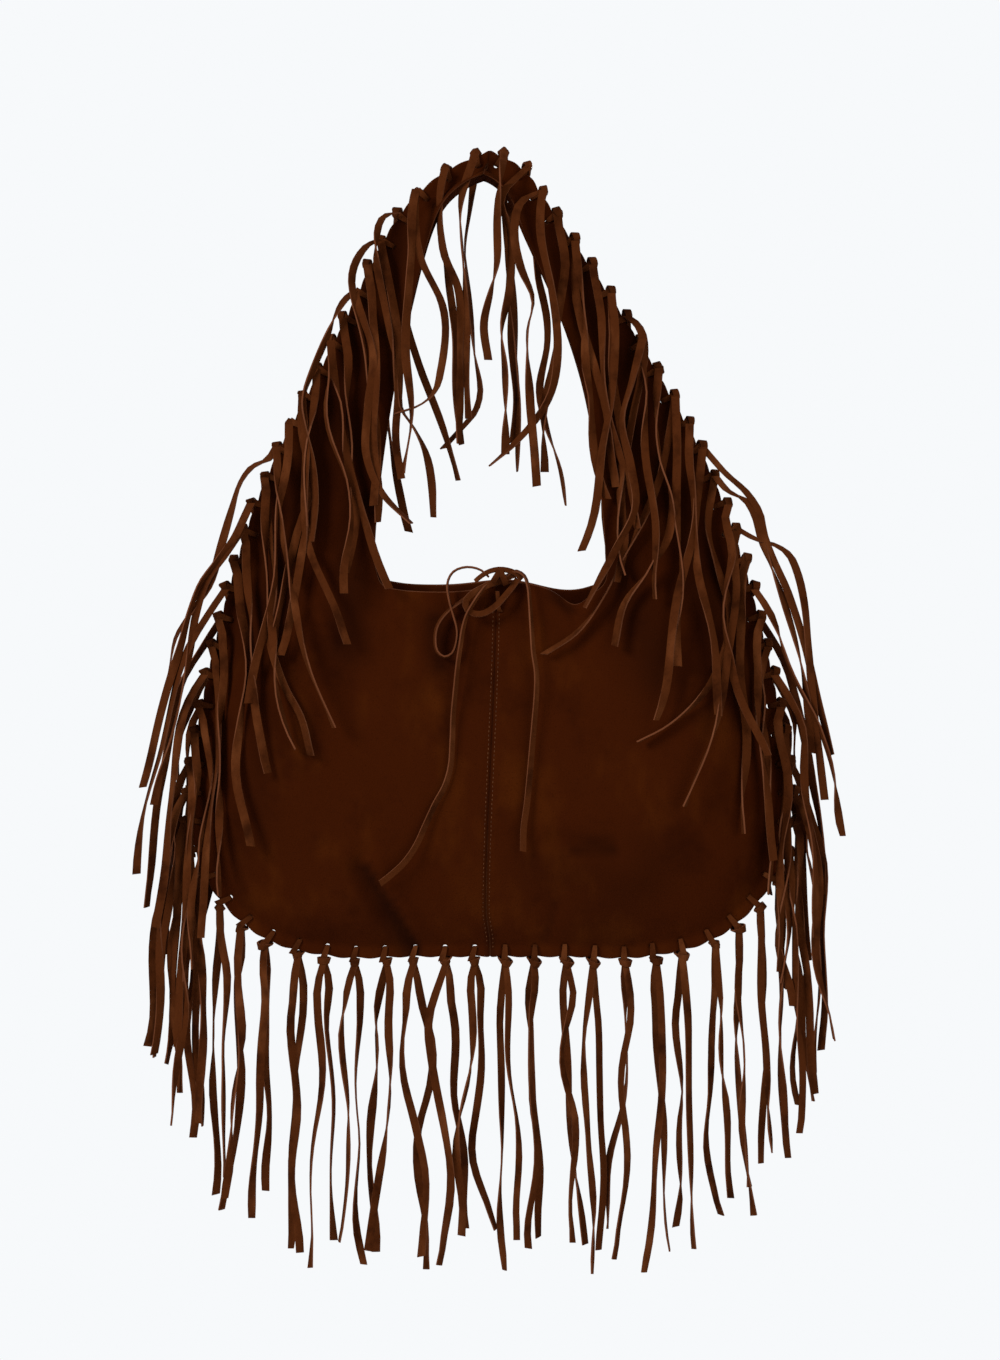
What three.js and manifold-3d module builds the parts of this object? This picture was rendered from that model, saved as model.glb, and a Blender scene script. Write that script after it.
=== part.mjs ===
// Fringed suede shoulder bag, in millimetres, +Z up, its front towards -Y.
// The origin is under the crown of the strap, where a hook carries the bag.
// Two plies, each of two halves, are joined along their outer edge by knotted laces; the inner edge is open.
import * as THREE from "three";
import { mergeVertices } from "three/addons/utils/BufferGeometryUtils.js";
import Module from "manifold-3d";

const wasm = await Module();
wasm.setup();

// Outline of the body and strap.
const bodyWidth = 372;
const bodyHeight = 228;
const cornerRadius = 90;
const strapDrop = 264;
const shoulderWidth = 300;
const shoulderDrop = 226;
const strapBow = 8;
const crownRise = 8;
const crownWidth = 60;
const crownTurn = 10;
const crownPlyHeight = 17;
const crownSkew = 8;
const crownSkewDepth = 45;
const mouthWidth = 142;
const mouthCorner = 14;
const mouthStep = 5;
const holeWidth = 62;
const holeTurn = 50;

// Suede plies: thickness, the gaps between them, and how far each stands out from the middle.
const plyThickness = 1.5;
const plyGap = 0.6;
const seamGap = 0.3;
const bellyDepth = 23;
const mouthDepth = 8;
const mouthCornerDepth = 4;
const strapDepth = 5;
const crownDepth = 13;
const seamAllowance = 12;
const flatEdge = 9;
const bellyRows = 3;
const layoutBow = 0.002;

// Fringe: one lace to each hole, a folded strip with a knot just outside the edge and two tails.
const lacesPerHalf = 38;
const holeInset = 6.5;
const holeSize = 2.6;
const clearance = 0.3;
const knotClearance = 0.5;
const strandSize = 1.7;
const strandThickness = 1.4;
const knotLength = 5.5;
const knotWidth = 4.6;
const laceWidth = 5;
const laceThickness = 1.2;
const laceGap = 1.2;
const tailLength = 184;
const tailLengthSpread = 14;
const sideTailTrim = 22;
const tailDrop = 14;
const fanSlope = 0.6;
const tailTwist = 0.5;
const tailBend = 0.35;
const upperTailBend = 0.6;
const upperFanLaces = 6;
const fanTailLayer = 5.1;
const upperTailLayer = 8.4;
const firstFusedLace = 19;
const fusedLaces = 13;
const firstCrownLace = 33;

// Tie at the middle of the mouth: a ring through both plies, a knot in front, two loops and two tails.
const tieWidth = 3.5;
const tieHoleSize = 3.2;
const tieHoleInset = 9;
const tieOffset = 7;
const tieStrand = 2;
const tieKnotWidth = 13;
const tieKnotHeight = 10;
const tieKnotDepth = 8;
const tieSides = 8;
const tieStep = 10.5;
const tieKnotShift = 3;
const tieRingSteps = 36;
const tieRingSides = 6;
const tieRoutes = {
  tie_loop_left: [
    [-0.3, -15.2, -264.2], [-4.5, -15, -257], [-9.5, -15, -253], [-17, -15.5, -251], [-24, -16, -256],
    [-29, -16.5, -266], [-32, -18, -279], [-34, -21.5, -293], [-32, -24.5, -303], [-26, -25.5, -307],
    [-20, -24.5, -302], [-17, -22, -291], [-13.5, -20, -280], [-9.5, -19, -271], [-3.4, -18.4, -266.5],
  ],
  tie_loop_right: [
    [9.5, -14.2, -255.5], [15, -15, -252], [21.5, -17, -253.5], [23, -20, -260], [19, -22, -267],
    [12, -23, -273], [4, -23.5, -279.5], [-3.5, -24, -281], [-7.5, -24.2, -276], [-4.5, -23.5, -269.5],
    [0.9, -21.3, -265.3],
  ],
  tie_tail_left: [
    [-2.3, -16.5, -270.8], [-6.5, -17.8, -278], [-9.5, -20.4, -286], [-12.5, -25, -295], [-17, -29, -308],
    [-21, -29.5, -324], [-23, -29.8, -342], [-24, -30.4, -360], [-25, -30.6, -377], [-28.5, -30.6, -391],
    [-36, -30.6, -403], [-44, -30.6, -416], [-52, -30.4, -429], [-60, -30, -439], [-66, -29.6, -447],
  ],
  tie_tail_right: [
    [10.4, -16, -266.3], [17, -17.5, -266], [25, -19.5, -270.5], [29.5, -21.5, -279], [31, -23.5, -290],
    [31, -26, -306], [30, -28, -322], [29, -29.8, -338], [27, -30.8, -354], [25, -31, -370],
    [23, -31, -386], [21.5, -31, -400], [21, -31, -413], [21, -31, -425],
  ],
};

const suede = { color: 0x3a1a08, roughness: 0.95, metalness: 0 };
const laceSuede = { color: 0x48230f, roughness: 0.95, metalness: 0 };

const bottom = -(strapDrop + bodyHeight);
const lacePitch = 1 / lacesPerHalf;
const firstDepth = (plyGap + plyThickness) / 2;
const plyFace = firstDepth + plyThickness / 2;
const strandFloor = plyFace + clearance;
const knotFace = strandFloor + strandThickness;
const FRONT = { name: "front", sign: -1, mouthDrop: strapDrop + mouthStep };
const BACK = { name: "back", sign: 1, mouthDrop: strapDrop };
const LEFT = { name: "left", sign: -1 };
const RIGHT = { name: "right", sign: 1 };

function smoothStep(low, high, value) {
  return THREE.MathUtils.smoothstep(value, low, high);
}

// A repeatable number from -1 to 1 for the small differences between laces.
function vary(index, salt) {
  const wave = Math.sin(index * 12.9898 + salt * 78.233) * 43758.5453;
  return 2 * (wave - Math.floor(wave)) - 1;
}

function curveThrough(points) {
  const curve = new THREE.CatmullRomCurve3(points.map(([x, z]) => new THREE.Vector3(x, 0, z)));
  curve.arcLengthDivisions = 600;
  return curve;
}

// Half of the laced outer edge, from the middle of the bottom up to the crown.
function outerEdge() {
  const half = bodyWidth / 2;
  const flat = half - cornerRadius;
  const corner = [0, 30, 60, 90].map((degrees) => {
    const turn = THREE.MathUtils.degToRad(degrees);
    return [flat + cornerRadius * Math.sin(turn), bottom + cornerRadius * (1 - Math.cos(turn))];
  });
  return curveThrough([
    [0, bottom],
    [flat / 2, bottom],
    ...corner,
    [shoulderWidth / 2, -shoulderDrop],
    [(shoulderWidth + crownWidth) / 4 + strapBow, -(shoulderDrop + crownTurn) / 2],
    [crownWidth / 2, -crownTurn],
    [0, crownRise],
  ]);
}

// Half of the open inner edge: along the mouth, round its corner and up the inside of the strap.
function innerEdge(ply) {
  const half = mouthWidth / 2;
  return curveThrough([
    [0, -ply.mouthDrop],
    [half - mouthCorner, -ply.mouthDrop + mouthCorner / 10],
    [half - mouthCorner / 4, -ply.mouthDrop + mouthCorner / 3],
    [half, -ply.mouthDrop + mouthCorner],
    [(mouthWidth + holeWidth) / 4 + strapBow, -(strapDrop + holeTurn) / 2 + mouthCorner],
    [holeWidth / 2, -holeTurn],
    [0, crownRise - crownPlyHeight],
  ]);
}

const outerCurve = outerEdge();
const innerCurves = { front: innerEdge(FRONT), back: innerEdge(BACK) };

// The share of the inner edge that lies square across from a share of the outer one.
function innerShare(share) {
  return 0.5 * share + 0.5 * share ** 3.5;
}

// A line in from the laced edge: square to it across the seam allowance, then straight to the open edge.
function rung(share, ply) {
  const outer = outerCurve.getPointAt(share);
  const tangent = outerCurve.getTangentAt(share);
  const inward = new THREE.Vector3(-tangent.z, 0, tangent.x);
  if (share === 0 || share === 1) inward.set(0, 0, Math.sign(inward.z));
  const allowance = outer.clone().addScaledVector(inward, seamAllowance);
  const inner = innerCurves[ply.name].getPointAt(innerShare(share));
  return { outer, allowance, inner, length: seamAllowance + allowance.distanceTo(inner) };
}

// How far the middle of a ply stands out: flat at the laced edge, full in the body, parted at the rim.
function standOut(share, inset, length) {
  const across = Math.max(0, (inset - flatEdge) / (length - flatEdge));
  const belly = bellyDepth * (1 - smoothStep(0.36, 0.64, share));
  const body = 1 - smoothStep(0.3, 0.55, share);
  const nearCorner = Math.exp(-(((share - 0.36) / 0.12) ** 2));
  const rim =
    strapDepth +
    (mouthDepth - strapDepth) * body +
    mouthCornerDepth * nearCorner +
    (crownDepth - strapDepth) * smoothStep(0.84, 1, share);
  return firstDepth + belly * Math.sin(Math.PI * across ** 0.72) + rim * smoothStep(0, 1, across);
}

// A point of the middle of a ply, with y as its distance from the plane of the laced edge.
function plyPoint(share, inset, ply) {
  const { outer, allowance, inner, length } = rung(share, ply);
  const point =
    inset <= seamAllowance
      ? outer.lerp(allowance, inset / seamAllowance)
      : allowance.lerp(inner, (inset - seamAllowance) / (length - seamAllowance));
  point.y = standOut(share, inset, length);
  return point;
}

function plyNormal(share, inset, ply) {
  const step = 0.004;
  const reach = rung(share, ply).length;
  const low = Math.max(0, share - step);
  const high = Math.min(1, share + step);
  const along = plyPoint(high, inset, ply).sub(plyPoint(low, inset, ply));
  const near = plyPoint(share, Math.max(0, inset - 1), ply);
  const inward = plyPoint(share, Math.min(reach, inset + 1), ply).sub(near);
  const normal = along.cross(inward).normalize();
  if (normal.y < 0) normal.negate();
  if (share === 0 || share === 1) normal.x = 0;
  return normal.normalize();
}

// The strap leans a little to the left just under its crown.
function skew(z) {
  const depth = Math.max(0, crownRise - z) / crownSkewDepth;
  return -crownSkew * depth ** 2 * Math.exp(2 - 2 * depth);
}

function onPly(point, ply) {
  return new THREE.Vector3(point.x, ply.sign * point.y, point.z);
}

function toWorld(point, side) {
  const x = side.sign * (point.x + seamGap / 2) + skew(point.z);
  return new THREE.Vector3(x, point.y, point.z);
}

// Triangles of the right half set in place on either side, with their faces kept outwards.
function placeTriangles(triangles, side, mirrored) {
  return triangles.map((triangle) => {
    const [a, b, c] = triangle.map((point) => toWorld(point, side));
    return mirrored ? [a, c, b] : [a, b, c];
  });
}

function geometryOf(triangles) {
  const positions = triangles.flatMap((corners) => corners.flatMap((corner) => corner.toArray()));
  const geometry = new THREE.BufferGeometry();
  geometry.setAttribute("position", new THREE.Float32BufferAttribute(positions, 3));
  return mergeVertices(geometry, 1e-4);
}

function quad(a, b, c, d) {
  return [
    [a, b, c],
    [a, c, d],
  ];
}

// The four corners of a lace's punched hole, in order round it, starting on its deeper side.
function holeCorners(lace) {
  const reach = holeSize / 2 / outerCurve.getLength();
  const share = (lace + 0.5) * lacePitch;
  return [
    { share: share - reach, inset: holeInset + holeSize / 2 },
    { share: share + reach, inset: holeInset + holeSize / 2 },
    { share: share + reach, inset: holeInset - holeSize / 2 },
    { share: share - reach, inset: holeInset - holeSize / 2 },
  ];
}

// One stretch of seam allowance, two laces long, with its two punched holes.
function edgeStretch(stretch) {
  const laces = [2 * stretch, 2 * stretch + 1];
  const contour = [
    ...[0, 1, 2].map((k) => ({ share: (2 * stretch + k) * lacePitch, inset: 0 })),
    ...[2, 0].map((k) => ({ share: (2 * stretch + k) * lacePitch, inset: seamAllowance })),
  ];
  const holes = laces.map(holeCorners);
  const middle = (2 * stretch + 1) * lacePitch;
  // Laid out along a slight bow, so that no three corners are in line.
  const flat = ({ share, inset }) => {
    const along = (share - middle) * outerCurve.getLength();
    return new THREE.Vector2(along, inset + layoutBow * along ** 2);
  };
  const places = [...contour, ...holes.flat()];
  const faces = THREE.ShapeUtils.triangulateShape(
    contour.map(flat),
    holes.map((hole) => hole.map(flat)),
  );
  return faces.map((face) => face.map((k) => places[k]));
}

// The rest of the ply, from the seam allowance to the open rim, in a few rows.
function bellyStretch(stretch, ply) {
  const shares = [2 * stretch * lacePitch, (2 * stretch + 2) * lacePitch];
  const at = (share, row) => {
    const reach = rung(share, ply).length;
    return { share, inset: seamAllowance + ((reach - seamAllowance) * row) / bellyRows };
  };
  const faces = [];
  for (let row = 0; row < bellyRows; row += 1) {
    const [a, b] = shares.map((share) => at(share, row));
    const [d, c] = shares.map((share) => at(share, row + 1));
    faces.push([a, b, c], [a, c, d]);
  }
  return faces;
}

// The outer and inner corners of a ply at one place.
function plyCorners(share, inset, ply) {
  const middle = plyPoint(share, inset, ply);
  const offset = plyNormal(share, inset, ply).multiplyScalar(plyThickness / 2);
  return { outside: middle.clone().add(offset), inside: middle.sub(offset) };
}

// A hole that its own lace fills has no wall of its own.
function isFilled(start, end, ply) {
  const inHole = [start, end].every(({ inset }) => inset > 0 && inset < seamAllowance);
  return inHole && carrierOf(Math.floor(start.share / lacePitch)) === ply;
}

// Gives a flat layout of triangles the thickness of the suede, with a wall along every open edge.
function thicken(faces, ply) {
  const keyOf = ({ share, inset }) => share.toFixed(7) + " " + inset.toFixed(5);
  const placed = new Map();
  const lift = (corner) => {
    const key = keyOf(corner);
    if (!placed.has(key)) placed.set(key, plyCorners(corner.share, corner.inset, ply));
    return placed.get(key);
  };
  const edges = new Map();
  const triangles = [];
  faces.forEach((face) => {
    const corners = face.map(lift);
    triangles.push(corners.map((corner) => corner.outside));
    triangles.push(corners.map((corner) => corner.inside).reverse());
    face.forEach((start, k) => {
      const end = face[(k + 1) % 3];
      edges.set(keyOf(start) + "|" + keyOf(end), [start, end]);
    });
  });
  edges.forEach(([start, end]) => {
    if (edges.has(keyOf(end) + "|" + keyOf(start)) || isFilled(start, end, ply)) return;
    const a = lift(start);
    const b = lift(end);
    triangles.push(...quad(b.outside, a.outside, a.inside, b.inside));
  });
  return triangles;
}

function isFused(lace) {
  return lace >= firstFusedLace && lace < firstFusedLace + fusedLaces;
}

// The ply that carries a lace which isn't a piece of its own: front and back take turns.
function carrierOf(lace) {
  if (!isFused(lace)) return null;
  return lace % 2 ? FRONT : BACK;
}

// One half of a ply, from the centre seam up to the crown, with the laces that it carries.
function panelGeometry(ply, side) {
  const faces = [];
  for (let stretch = 0; stretch < lacesPerHalf / 2; stretch += 1) {
    faces.push(...edgeStretch(stretch), ...bellyStretch(stretch, ply));
  }
  const shell = thicken(faces, ply).map((triangle) => triangle.map((point) => onPly(point, ply)));
  const carried = seats.filter(({ lace }) => carrierOf(lace) === ply);
  return geometryOf([
    ...placeTriangles(shell, side, side.sign * ply.sign > 0),
    ...carried.flatMap((seat) => placeTriangles(laceTriangles(seat, side), side, side === LEFT)),
  ]);
}

// Where a ply's outer face stands at a place seen from the front, or nothing beyond its edges.
function faceLookup() {
  const steps = 90;
  const rows = 8;
  const grid = [];
  for (let i = 0; i <= steps; i += 1) {
    const reach = rung(i / steps, BACK).length;
    grid.push(Array.from({ length: rows + 1 }, (_, row) => plyPoint(i / steps, (reach * row) / rows, BACK)));
  }
  const cells = [];
  for (let i = 0; i < steps; i += 1) {
    for (let row = 0; row < rows; row += 1) {
      const [a, b, c, d] = [grid[i][row], grid[i + 1][row], grid[i + 1][row + 1], grid[i][row + 1]];
      cells.push(new THREE.Triangle(a, b, c), new THREE.Triangle(a, c, d));
    }
  }
  return cells.map((cell) => {
    const flat = [cell.a, cell.b, cell.c].map((p) => new THREE.Vector3(p.x, 0, p.z));
    const box = new THREE.Box3().setFromPoints(flat);
    return { cell, flat: new THREE.Triangle(...flat), box };
  });
}

const faceCells = faceLookup();

function faceDepth(x, z) {
  const place = new THREE.Vector3(Math.abs(x), 0, z);
  const weights = new THREE.Vector3();
  for (const { cell, flat, box } of faceCells) {
    if (!box.containsPoint(place) || !flat.containsPoint(place)) continue;
    if (!flat.getBarycoord(place, weights)) continue;
    return cell.a.y * weights.x + cell.b.y * weights.y + cell.c.y * weights.z + plyThickness / 2;
  }
  return 0;
}

// The most that the face stands out anywhere behind a hanging stretch of tail.
function faceDepthOver(x, top, low) {
  let most = 0;
  for (let z = top; z >= low; z -= 5) {
    [-1, 0, 1].forEach((k) => {
      most = Math.max(most, faceDepth(x + (k * laceWidth) / 2, z));
    });
  }
  return most;
}

// Where each lace's hole, edge and knot lie, in the right half.
function laceSeats() {
  return Array.from({ length: lacesPerHalf }, (_, lace) => {
    const share = (lace + 0.5) * lacePitch;
    const edge = outerCurve.getPointAt(share);
    const hole = plyPoint(share, holeInset, BACK).setY(0);
    const out = edge.clone().sub(hole).normalize();
    const knot = edge.clone().addScaledVector(out, knotClearance + knotLength / 2);
    return { lace, hole, out, knot };
  });
}

const seats = laceSeats();
const widestLace = seats.reduce((most, seat) => (seat.knot.x > seats[most].knot.x ? seat.lace : most), 0);
const lastLowerFanLace = widestLace + 2;
const lastFanLace = lastLowerFanLace + upperFanLaces;

// The upright line in which each lace hangs. Two layers of laces fan outwards, those of the shoulder over
// those of the corner, and the laces above them lie over the face.
function laneOf() {
  const spacing = laceWidth + laceGap;
  const lanes = [];
  seats.forEach(({ lace, knot }) => {
    if (lace === 0 || lace === lastLowerFanLace + 1) lanes.push(knot.x);
    else if (lace <= lastFanLace) lanes.push(Math.max(knot.x, lanes[lace - 1] + spacing));
    else if (lace === lastFanLace + 1) lanes.push(Math.min(knot.x, seats[lace - 1].knot.x - spacing));
    else lanes.push(Math.min(knot.x, lanes[lace - 1] - spacing));
  });
  return lanes;
}

const lanes = laneOf();

// The free room beside a lane, which a tail may wander into.
function laneRoom(lace) {
  const gaps = [lanes[lace - 1], lanes[lace + 1]].filter((lane) => lane !== undefined);
  const nearest = Math.min(...gaps.map((lane) => Math.abs(lane - lanes[lace])));
  return Math.max(0, nearest - laceWidth - laceGap / 2) * 0.4;
}

// Four corners of a tail's flat section, seen from above in order round it.
function tailSection(x, y, z, turn, face) {
  const wide = new THREE.Vector3(Math.cos(turn), Math.sin(turn), 0);
  const thick = new THREE.Vector3(-Math.sin(turn), Math.cos(turn), 0);
  wide.multiplyScalar((face.sign * laceWidth) / 2);
  thick.multiplyScalar((face.sign * laceThickness) / 2);
  const middle = new THREE.Vector3(x, y, z);
  return [
    middle.clone().add(wide).sub(thick),
    middle.clone().sub(wide).sub(thick),
    middle.clone().sub(wide).add(thick),
    middle.clone().add(wide).add(thick),
  ];
}

// The sections of one tail below its knot.
function tailSections(seat, side, face) {
  const { lace, knot } = seat;
  const salt = side.sign + 3 * face.sign + 5;
  const shift = lanes[lace] - knot.x;
  const outward = lace <= lastFanLace;
  const onSide = smoothStep(bodyWidth / 2 - cornerRadius, bodyWidth / 2, knot.x) * (outward ? 1 : 0.4);
  const length = tailLength + tailLengthSpread * vary(lace, salt) - sideTailTrim * onSide;
  const firstShift = Math.sign(shift) * Math.min(Math.abs(shift), tailDrop * fanSlope);
  const knee = shift === firstShift ? 0 : Math.abs(shift) / fanSlope;
  const room = laneRoom(lace);
  const plain = face === BACK || lace >= firstCrownLace;
  const bends = [outward && knee ? knee : tailBend * length];
  if (!outward && !plain) bends.push(upperTailBend * length);
  const drops = [tailDrop, ...bends, length];
  const least = lace <= lastLowerFanLace ? fanTailLayer : upperTailLayer;
  let depth = 0;
  return drops.map((drop, k) => {
    const last = k === drops.length - 1;
    const wander = k === 0 ? 0 : room * vary(lace, salt + 7 * k);
    const x = knot.x + (k === 0 ? firstShift : shift) + wander;
    const next = last ? drop : drops[k + 1];
    const behind = faceDepthOver(x, knot.z - drop + 4, knot.z - next);
    const needed = behind ? behind + 2 * clearance + strandThickness + laceThickness : 0;
    depth = Math.max(depth, k === 0 ? Math.min(least, knotFace + 2.2) : least, needed);
    const mostTurn = (outward ? tailTwist : tailTwist / 4) * (last ? 1 : 0.4);
    const turn = k === 0 ? 0 : mostTurn * vary(lace, salt + 11 * k);
    return tailSection(x, face.sign * depth, knot.z - drop, turn, face);
  });
}

// Joins four-cornered sections into the walls of a strip; each section's corners run the same way round.
function strip(sections, closedEnd) {
  const triangles = [];
  for (let k = 0; k + 1 < sections.length; k += 1) {
    const [near, far] = [sections[k], sections[k + 1]];
    near.forEach((corner, i) => {
      const j = (i + 1) % near.length;
      triangles.push(...quad(corner, near[j], far[j], far[i]));
    });
  }
  if (closedEnd) triangles.push(...quad(...sections[sections.length - 1]));
  return triangles;
}

// The corners of the knot's front or back face, started so that its two upper ones come last.
function orderedByHeight(corners) {
  const turns = [0, 1, 2, 3].map((k) => [0, 1, 2, 3].map((i) => corners[(i + k) % 4]));
  const lowEdge = (order) => order[0].z + order[1].z;
  return turns.reduce((best, order) => (lowEdge(order) < lowEdge(best) - 1e-6 ? order : best));
}

// The two rims of the hole that a carried lace fills, the one nearer the front first.
function holeLoops(lace, ply) {
  const corners = holeCorners(lace).map(({ share, inset }) => plyCorners(share, inset, ply));
  const outer = corners.map(({ outside }) => onPly(outside, ply));
  const inner = corners.map(({ inside }) => onPly(inside, ply));
  return ply === FRONT ? [outer, inner] : [inner, outer];
}

// One lace: a ring through the hole and round the edge, closed by the knot, and a tail from each face.
function laceTriangles(seat, side) {
  const { hole, out, knot } = seat;
  const along = new THREE.Vector3(-out.z, 0, out.x);
  const at = (origin, outward, sideways, y) =>
    origin.clone().addScaledVector(out, outward).addScaledVector(along, sideways).setY(y);
  const [deep, wide] = [knotLength / 2, knotWidth / 2];
  const corner = (outward, sideways, y) => at(knot, outward * deep, sideways * wide, y);
  const face = (y) => [corner(-1, -1, y), corner(-1, 1, y), corner(1, 1, y), corner(1, -1, y)];
  const [frontFace, backFace] = [face(-knotFace), face(knotFace)];
  const split = (y) => [corner(-1, -1, y), corner(-1, 1, y)];
  const [frontSplit, backSplit] = [split(-strandFloor), split(strandFloor)];
  const half = strandSize / 2;
  const bend = (sign) => [
    at(hole, -half, -half, sign * knotFace),
    at(hole, -half, half, sign * knotFace),
    at(hole, half, half, sign * strandFloor),
    at(hole, half, -half, sign * strandFloor),
  ];
  const frontEnd = [[frontFace[0], frontFace[1], frontSplit[1], frontSplit[0]], bend(-1)];
  const backEnd = [bend(1), [backFace[0], backFace[1], backSplit[1], backSplit[0]]];
  const carrier = carrierOf(seat.lace);
  const [near, far] = carrier ? holeLoops(seat.lace, carrier) : [];
  const triangles = carrier
    ? [...strip([...frontEnd, near], false), ...strip([far, ...backEnd], false)]
    : strip([...frontEnd, ...backEnd], false);
  triangles.push(...quad(backSplit[1], backSplit[0], frontSplit[0], frontSplit[1]));
  triangles.push(...quad(backFace[3], backFace[2], frontFace[2], frontFace[3]));
  const flank = (i, j) => [frontSplit[i], frontFace[i], frontFace[j], backFace[j], backFace[i], backSplit[i]];
  const fan = ([hub, ...rest]) => rest.slice(1).map((point, k) => [hub, rest[k], point]);
  triangles.push(...fan(flank(0, 3)).map((t) => [...t].reverse()), ...fan(flank(1, 2)));
  [
    [FRONT, [...frontFace].reverse()],
    [BACK, backFace],
  ].forEach(([ply, corners]) => {
    const root = orderedByHeight(corners);
    triangles.push(...strip([root, ...tailSections(seat, side, ply)], true));
  });
  return triangles;
}

function laceGeometry(seat, side) {
  return geometryOf(placeTriangles(laceTriangles(seat, side), side, side === LEFT));
}

function solidOf(geometry) {
  const bare = geometry.clone();
  bare.deleteAttribute("normal");
  bare.deleteAttribute("uv");
  const merged = mergeVertices(bare.index ? bare.toNonIndexed() : bare, 1e-4);
  return new wasm.Manifold(
    new wasm.Mesh({
      numProp: 3,
      vertProperties: merged.attributes.position.array,
      triVerts: new Uint32Array(merged.index.array),
    }),
  );
}

function geometryOfSolid(solid) {
  const { vertProperties, triVerts } = solid.getMesh();
  const geometry = new THREE.BufferGeometry();
  geometry.setAttribute("position", new THREE.BufferAttribute(vertProperties, 3));
  return geometry.setIndex(new THREE.BufferAttribute(triVerts, 1));
}

// The hole that the tie's ring passes through, below the rim of one ply at the middle of the mouth.
function tieHole(ply) {
  const share = tieOffset / outerCurve.getLength();
  const point = plyPoint(share, rung(share, ply).length - tieHoleInset, ply);
  return new THREE.Vector3(tieOffset, ply.sign * point.y, point.z);
}

function tieHoleCutter(ply) {
  const reach = 6 * plyThickness;
  const box = new THREE.BoxGeometry(tieHoleSize, reach, tieHoleSize);
  const hole = tieHole(ply);
  return box.translate(hole.x, hole.y, hole.z);
}

// The knot of the tie: a ring over the rims of both plies and back through their holes and the pouch,
// which swells to the knot in front of the rim.
function tieKnot() {
  const outside = plyThickness / 2 + clearance + tieStrand;
  const over = clearance + plyThickness + tieStrand;
  const [front, back] = [tieHole(FRONT), tieHole(BACK)];
  const path = new THREE.CatmullRomCurve3(
    [
      [front.y - outside, front.z + tieStrand / 2],
      [front.y - outside, front.z + tieHoleInset],
      [front.y + 1, -FRONT.mouthDrop + over + 4],
      [-mouthDepth + 3, -FRONT.mouthDrop + over + 5],
      [mouthDepth - 1, -BACK.mouthDrop + over],
      [back.y + outside - 1, back.z + tieHoleInset - 2],
      [back.y + outside, back.z],
      [back.y - 2 * tieStrand, back.z],
      [front.y + 2 * tieStrand, front.z + tieStrand / 4],
    ].map(([y, z]) => new THREE.Vector3(tieOffset, y, z)),
    true,
  );
  const knotHeight = front.z + tieHoleInset;
  const sections = Array.from({ length: tieRingSteps }, (_, k) => {
    const middle = path.getPoint(k / tieRingSteps);
    const tangent = path.getTangent(k / tieRingSteps);
    const outward = new THREE.Vector3(0, -tangent.z, tangent.y).normalize();
    const rise = Math.min(1, Math.abs(middle.z - knotHeight) / (tieKnotHeight / 2));
    const swell = middle.y < front.y ? Math.sqrt(1 - rise * rise) : 0;
    const wide = THREE.MathUtils.lerp(tieStrand, tieKnotWidth, swell) / 2;
    const deep = THREE.MathUtils.lerp(tieStrand, tieKnotDepth, swell) / 2;
    middle.addScaledVector(outward, deep - tieStrand / 2);
    middle.x -= tieKnotShift * swell;
    return Array.from({ length: tieRingSides }, (_, corner) => {
      const turn = (2 * Math.PI * (corner + 0.5)) / tieRingSides;
      const point = middle.clone().addScaledVector(outward, deep * Math.sin(turn));
      point.x -= wide * Math.cos(turn);
      return point;
    });
  });
  return geometryOf(strip([...sections, sections[0]], false));
}

// A loop or tail of the tie, plain and round along its route.
function tieCord(points) {
  const route = new THREE.CatmullRomCurve3(points.map((point) => new THREE.Vector3(...point)));
  const section = new THREE.Shape();
  for (let k = 0; k < tieSides; k += 1) {
    const turn = (2 * Math.PI * k) / tieSides;
    const corner = [(tieWidth / 2) * Math.cos(turn), (tieWidth / 2) * Math.sin(turn)];
    if (k === 0) section.moveTo(...corner);
    else section.lineTo(...corner);
  }
  const steps = Math.ceil(route.getLength() / tieStep);
  return new THREE.ExtrudeGeometry(section, { steps, extrudePath: route, bevelEnabled: false });
}

function meshOf(name, geometry, finish) {
  const mesh = new THREE.Mesh(geometry, new THREE.MeshStandardMaterial(finish));
  mesh.name = name;
  return mesh;
}

function laceName(lace, side) {
  return "lace_" + side.name + "_" + String(lace + 1).padStart(2, "0");
}

function panelMesh(ply, side) {
  const name = ply.name + "_panel_" + side.name;
  const panel = panelGeometry(ply, side);
  if (side === LEFT) return meshOf(name, panel, suede);
  return meshOf(name, geometryOfSolid(solidOf(panel).subtract(solidOf(tieHoleCutter(ply)))), suede);
}

const bag = new THREE.Group();
for (const side of [LEFT, RIGHT]) {
  bag.add(panelMesh(FRONT, side), panelMesh(BACK, side));
  seats
    .filter(({ lace }) => !isFused(lace))
    .forEach((seat) => bag.add(meshOf(laceName(seat.lace, side), laceGeometry(seat, side), laceSuede)));
}
bag.add(meshOf("tie_knot", tieKnot(), laceSuede));
Object.entries(tieRoutes).forEach(([name, points]) => bag.add(meshOf(name, tieCord(points), laceSuede)));

export default bag;
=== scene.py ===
"""Fringed suede shoulder bag, hanging by its strap. Metres, +Z up, its front towards -Y."""

import logging
import math
from dataclasses import dataclass, field
from enum import Enum, IntEnum

import bmesh
import bpy
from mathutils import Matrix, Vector, noise
from mathutils.bvhtree import BVHTree


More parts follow.
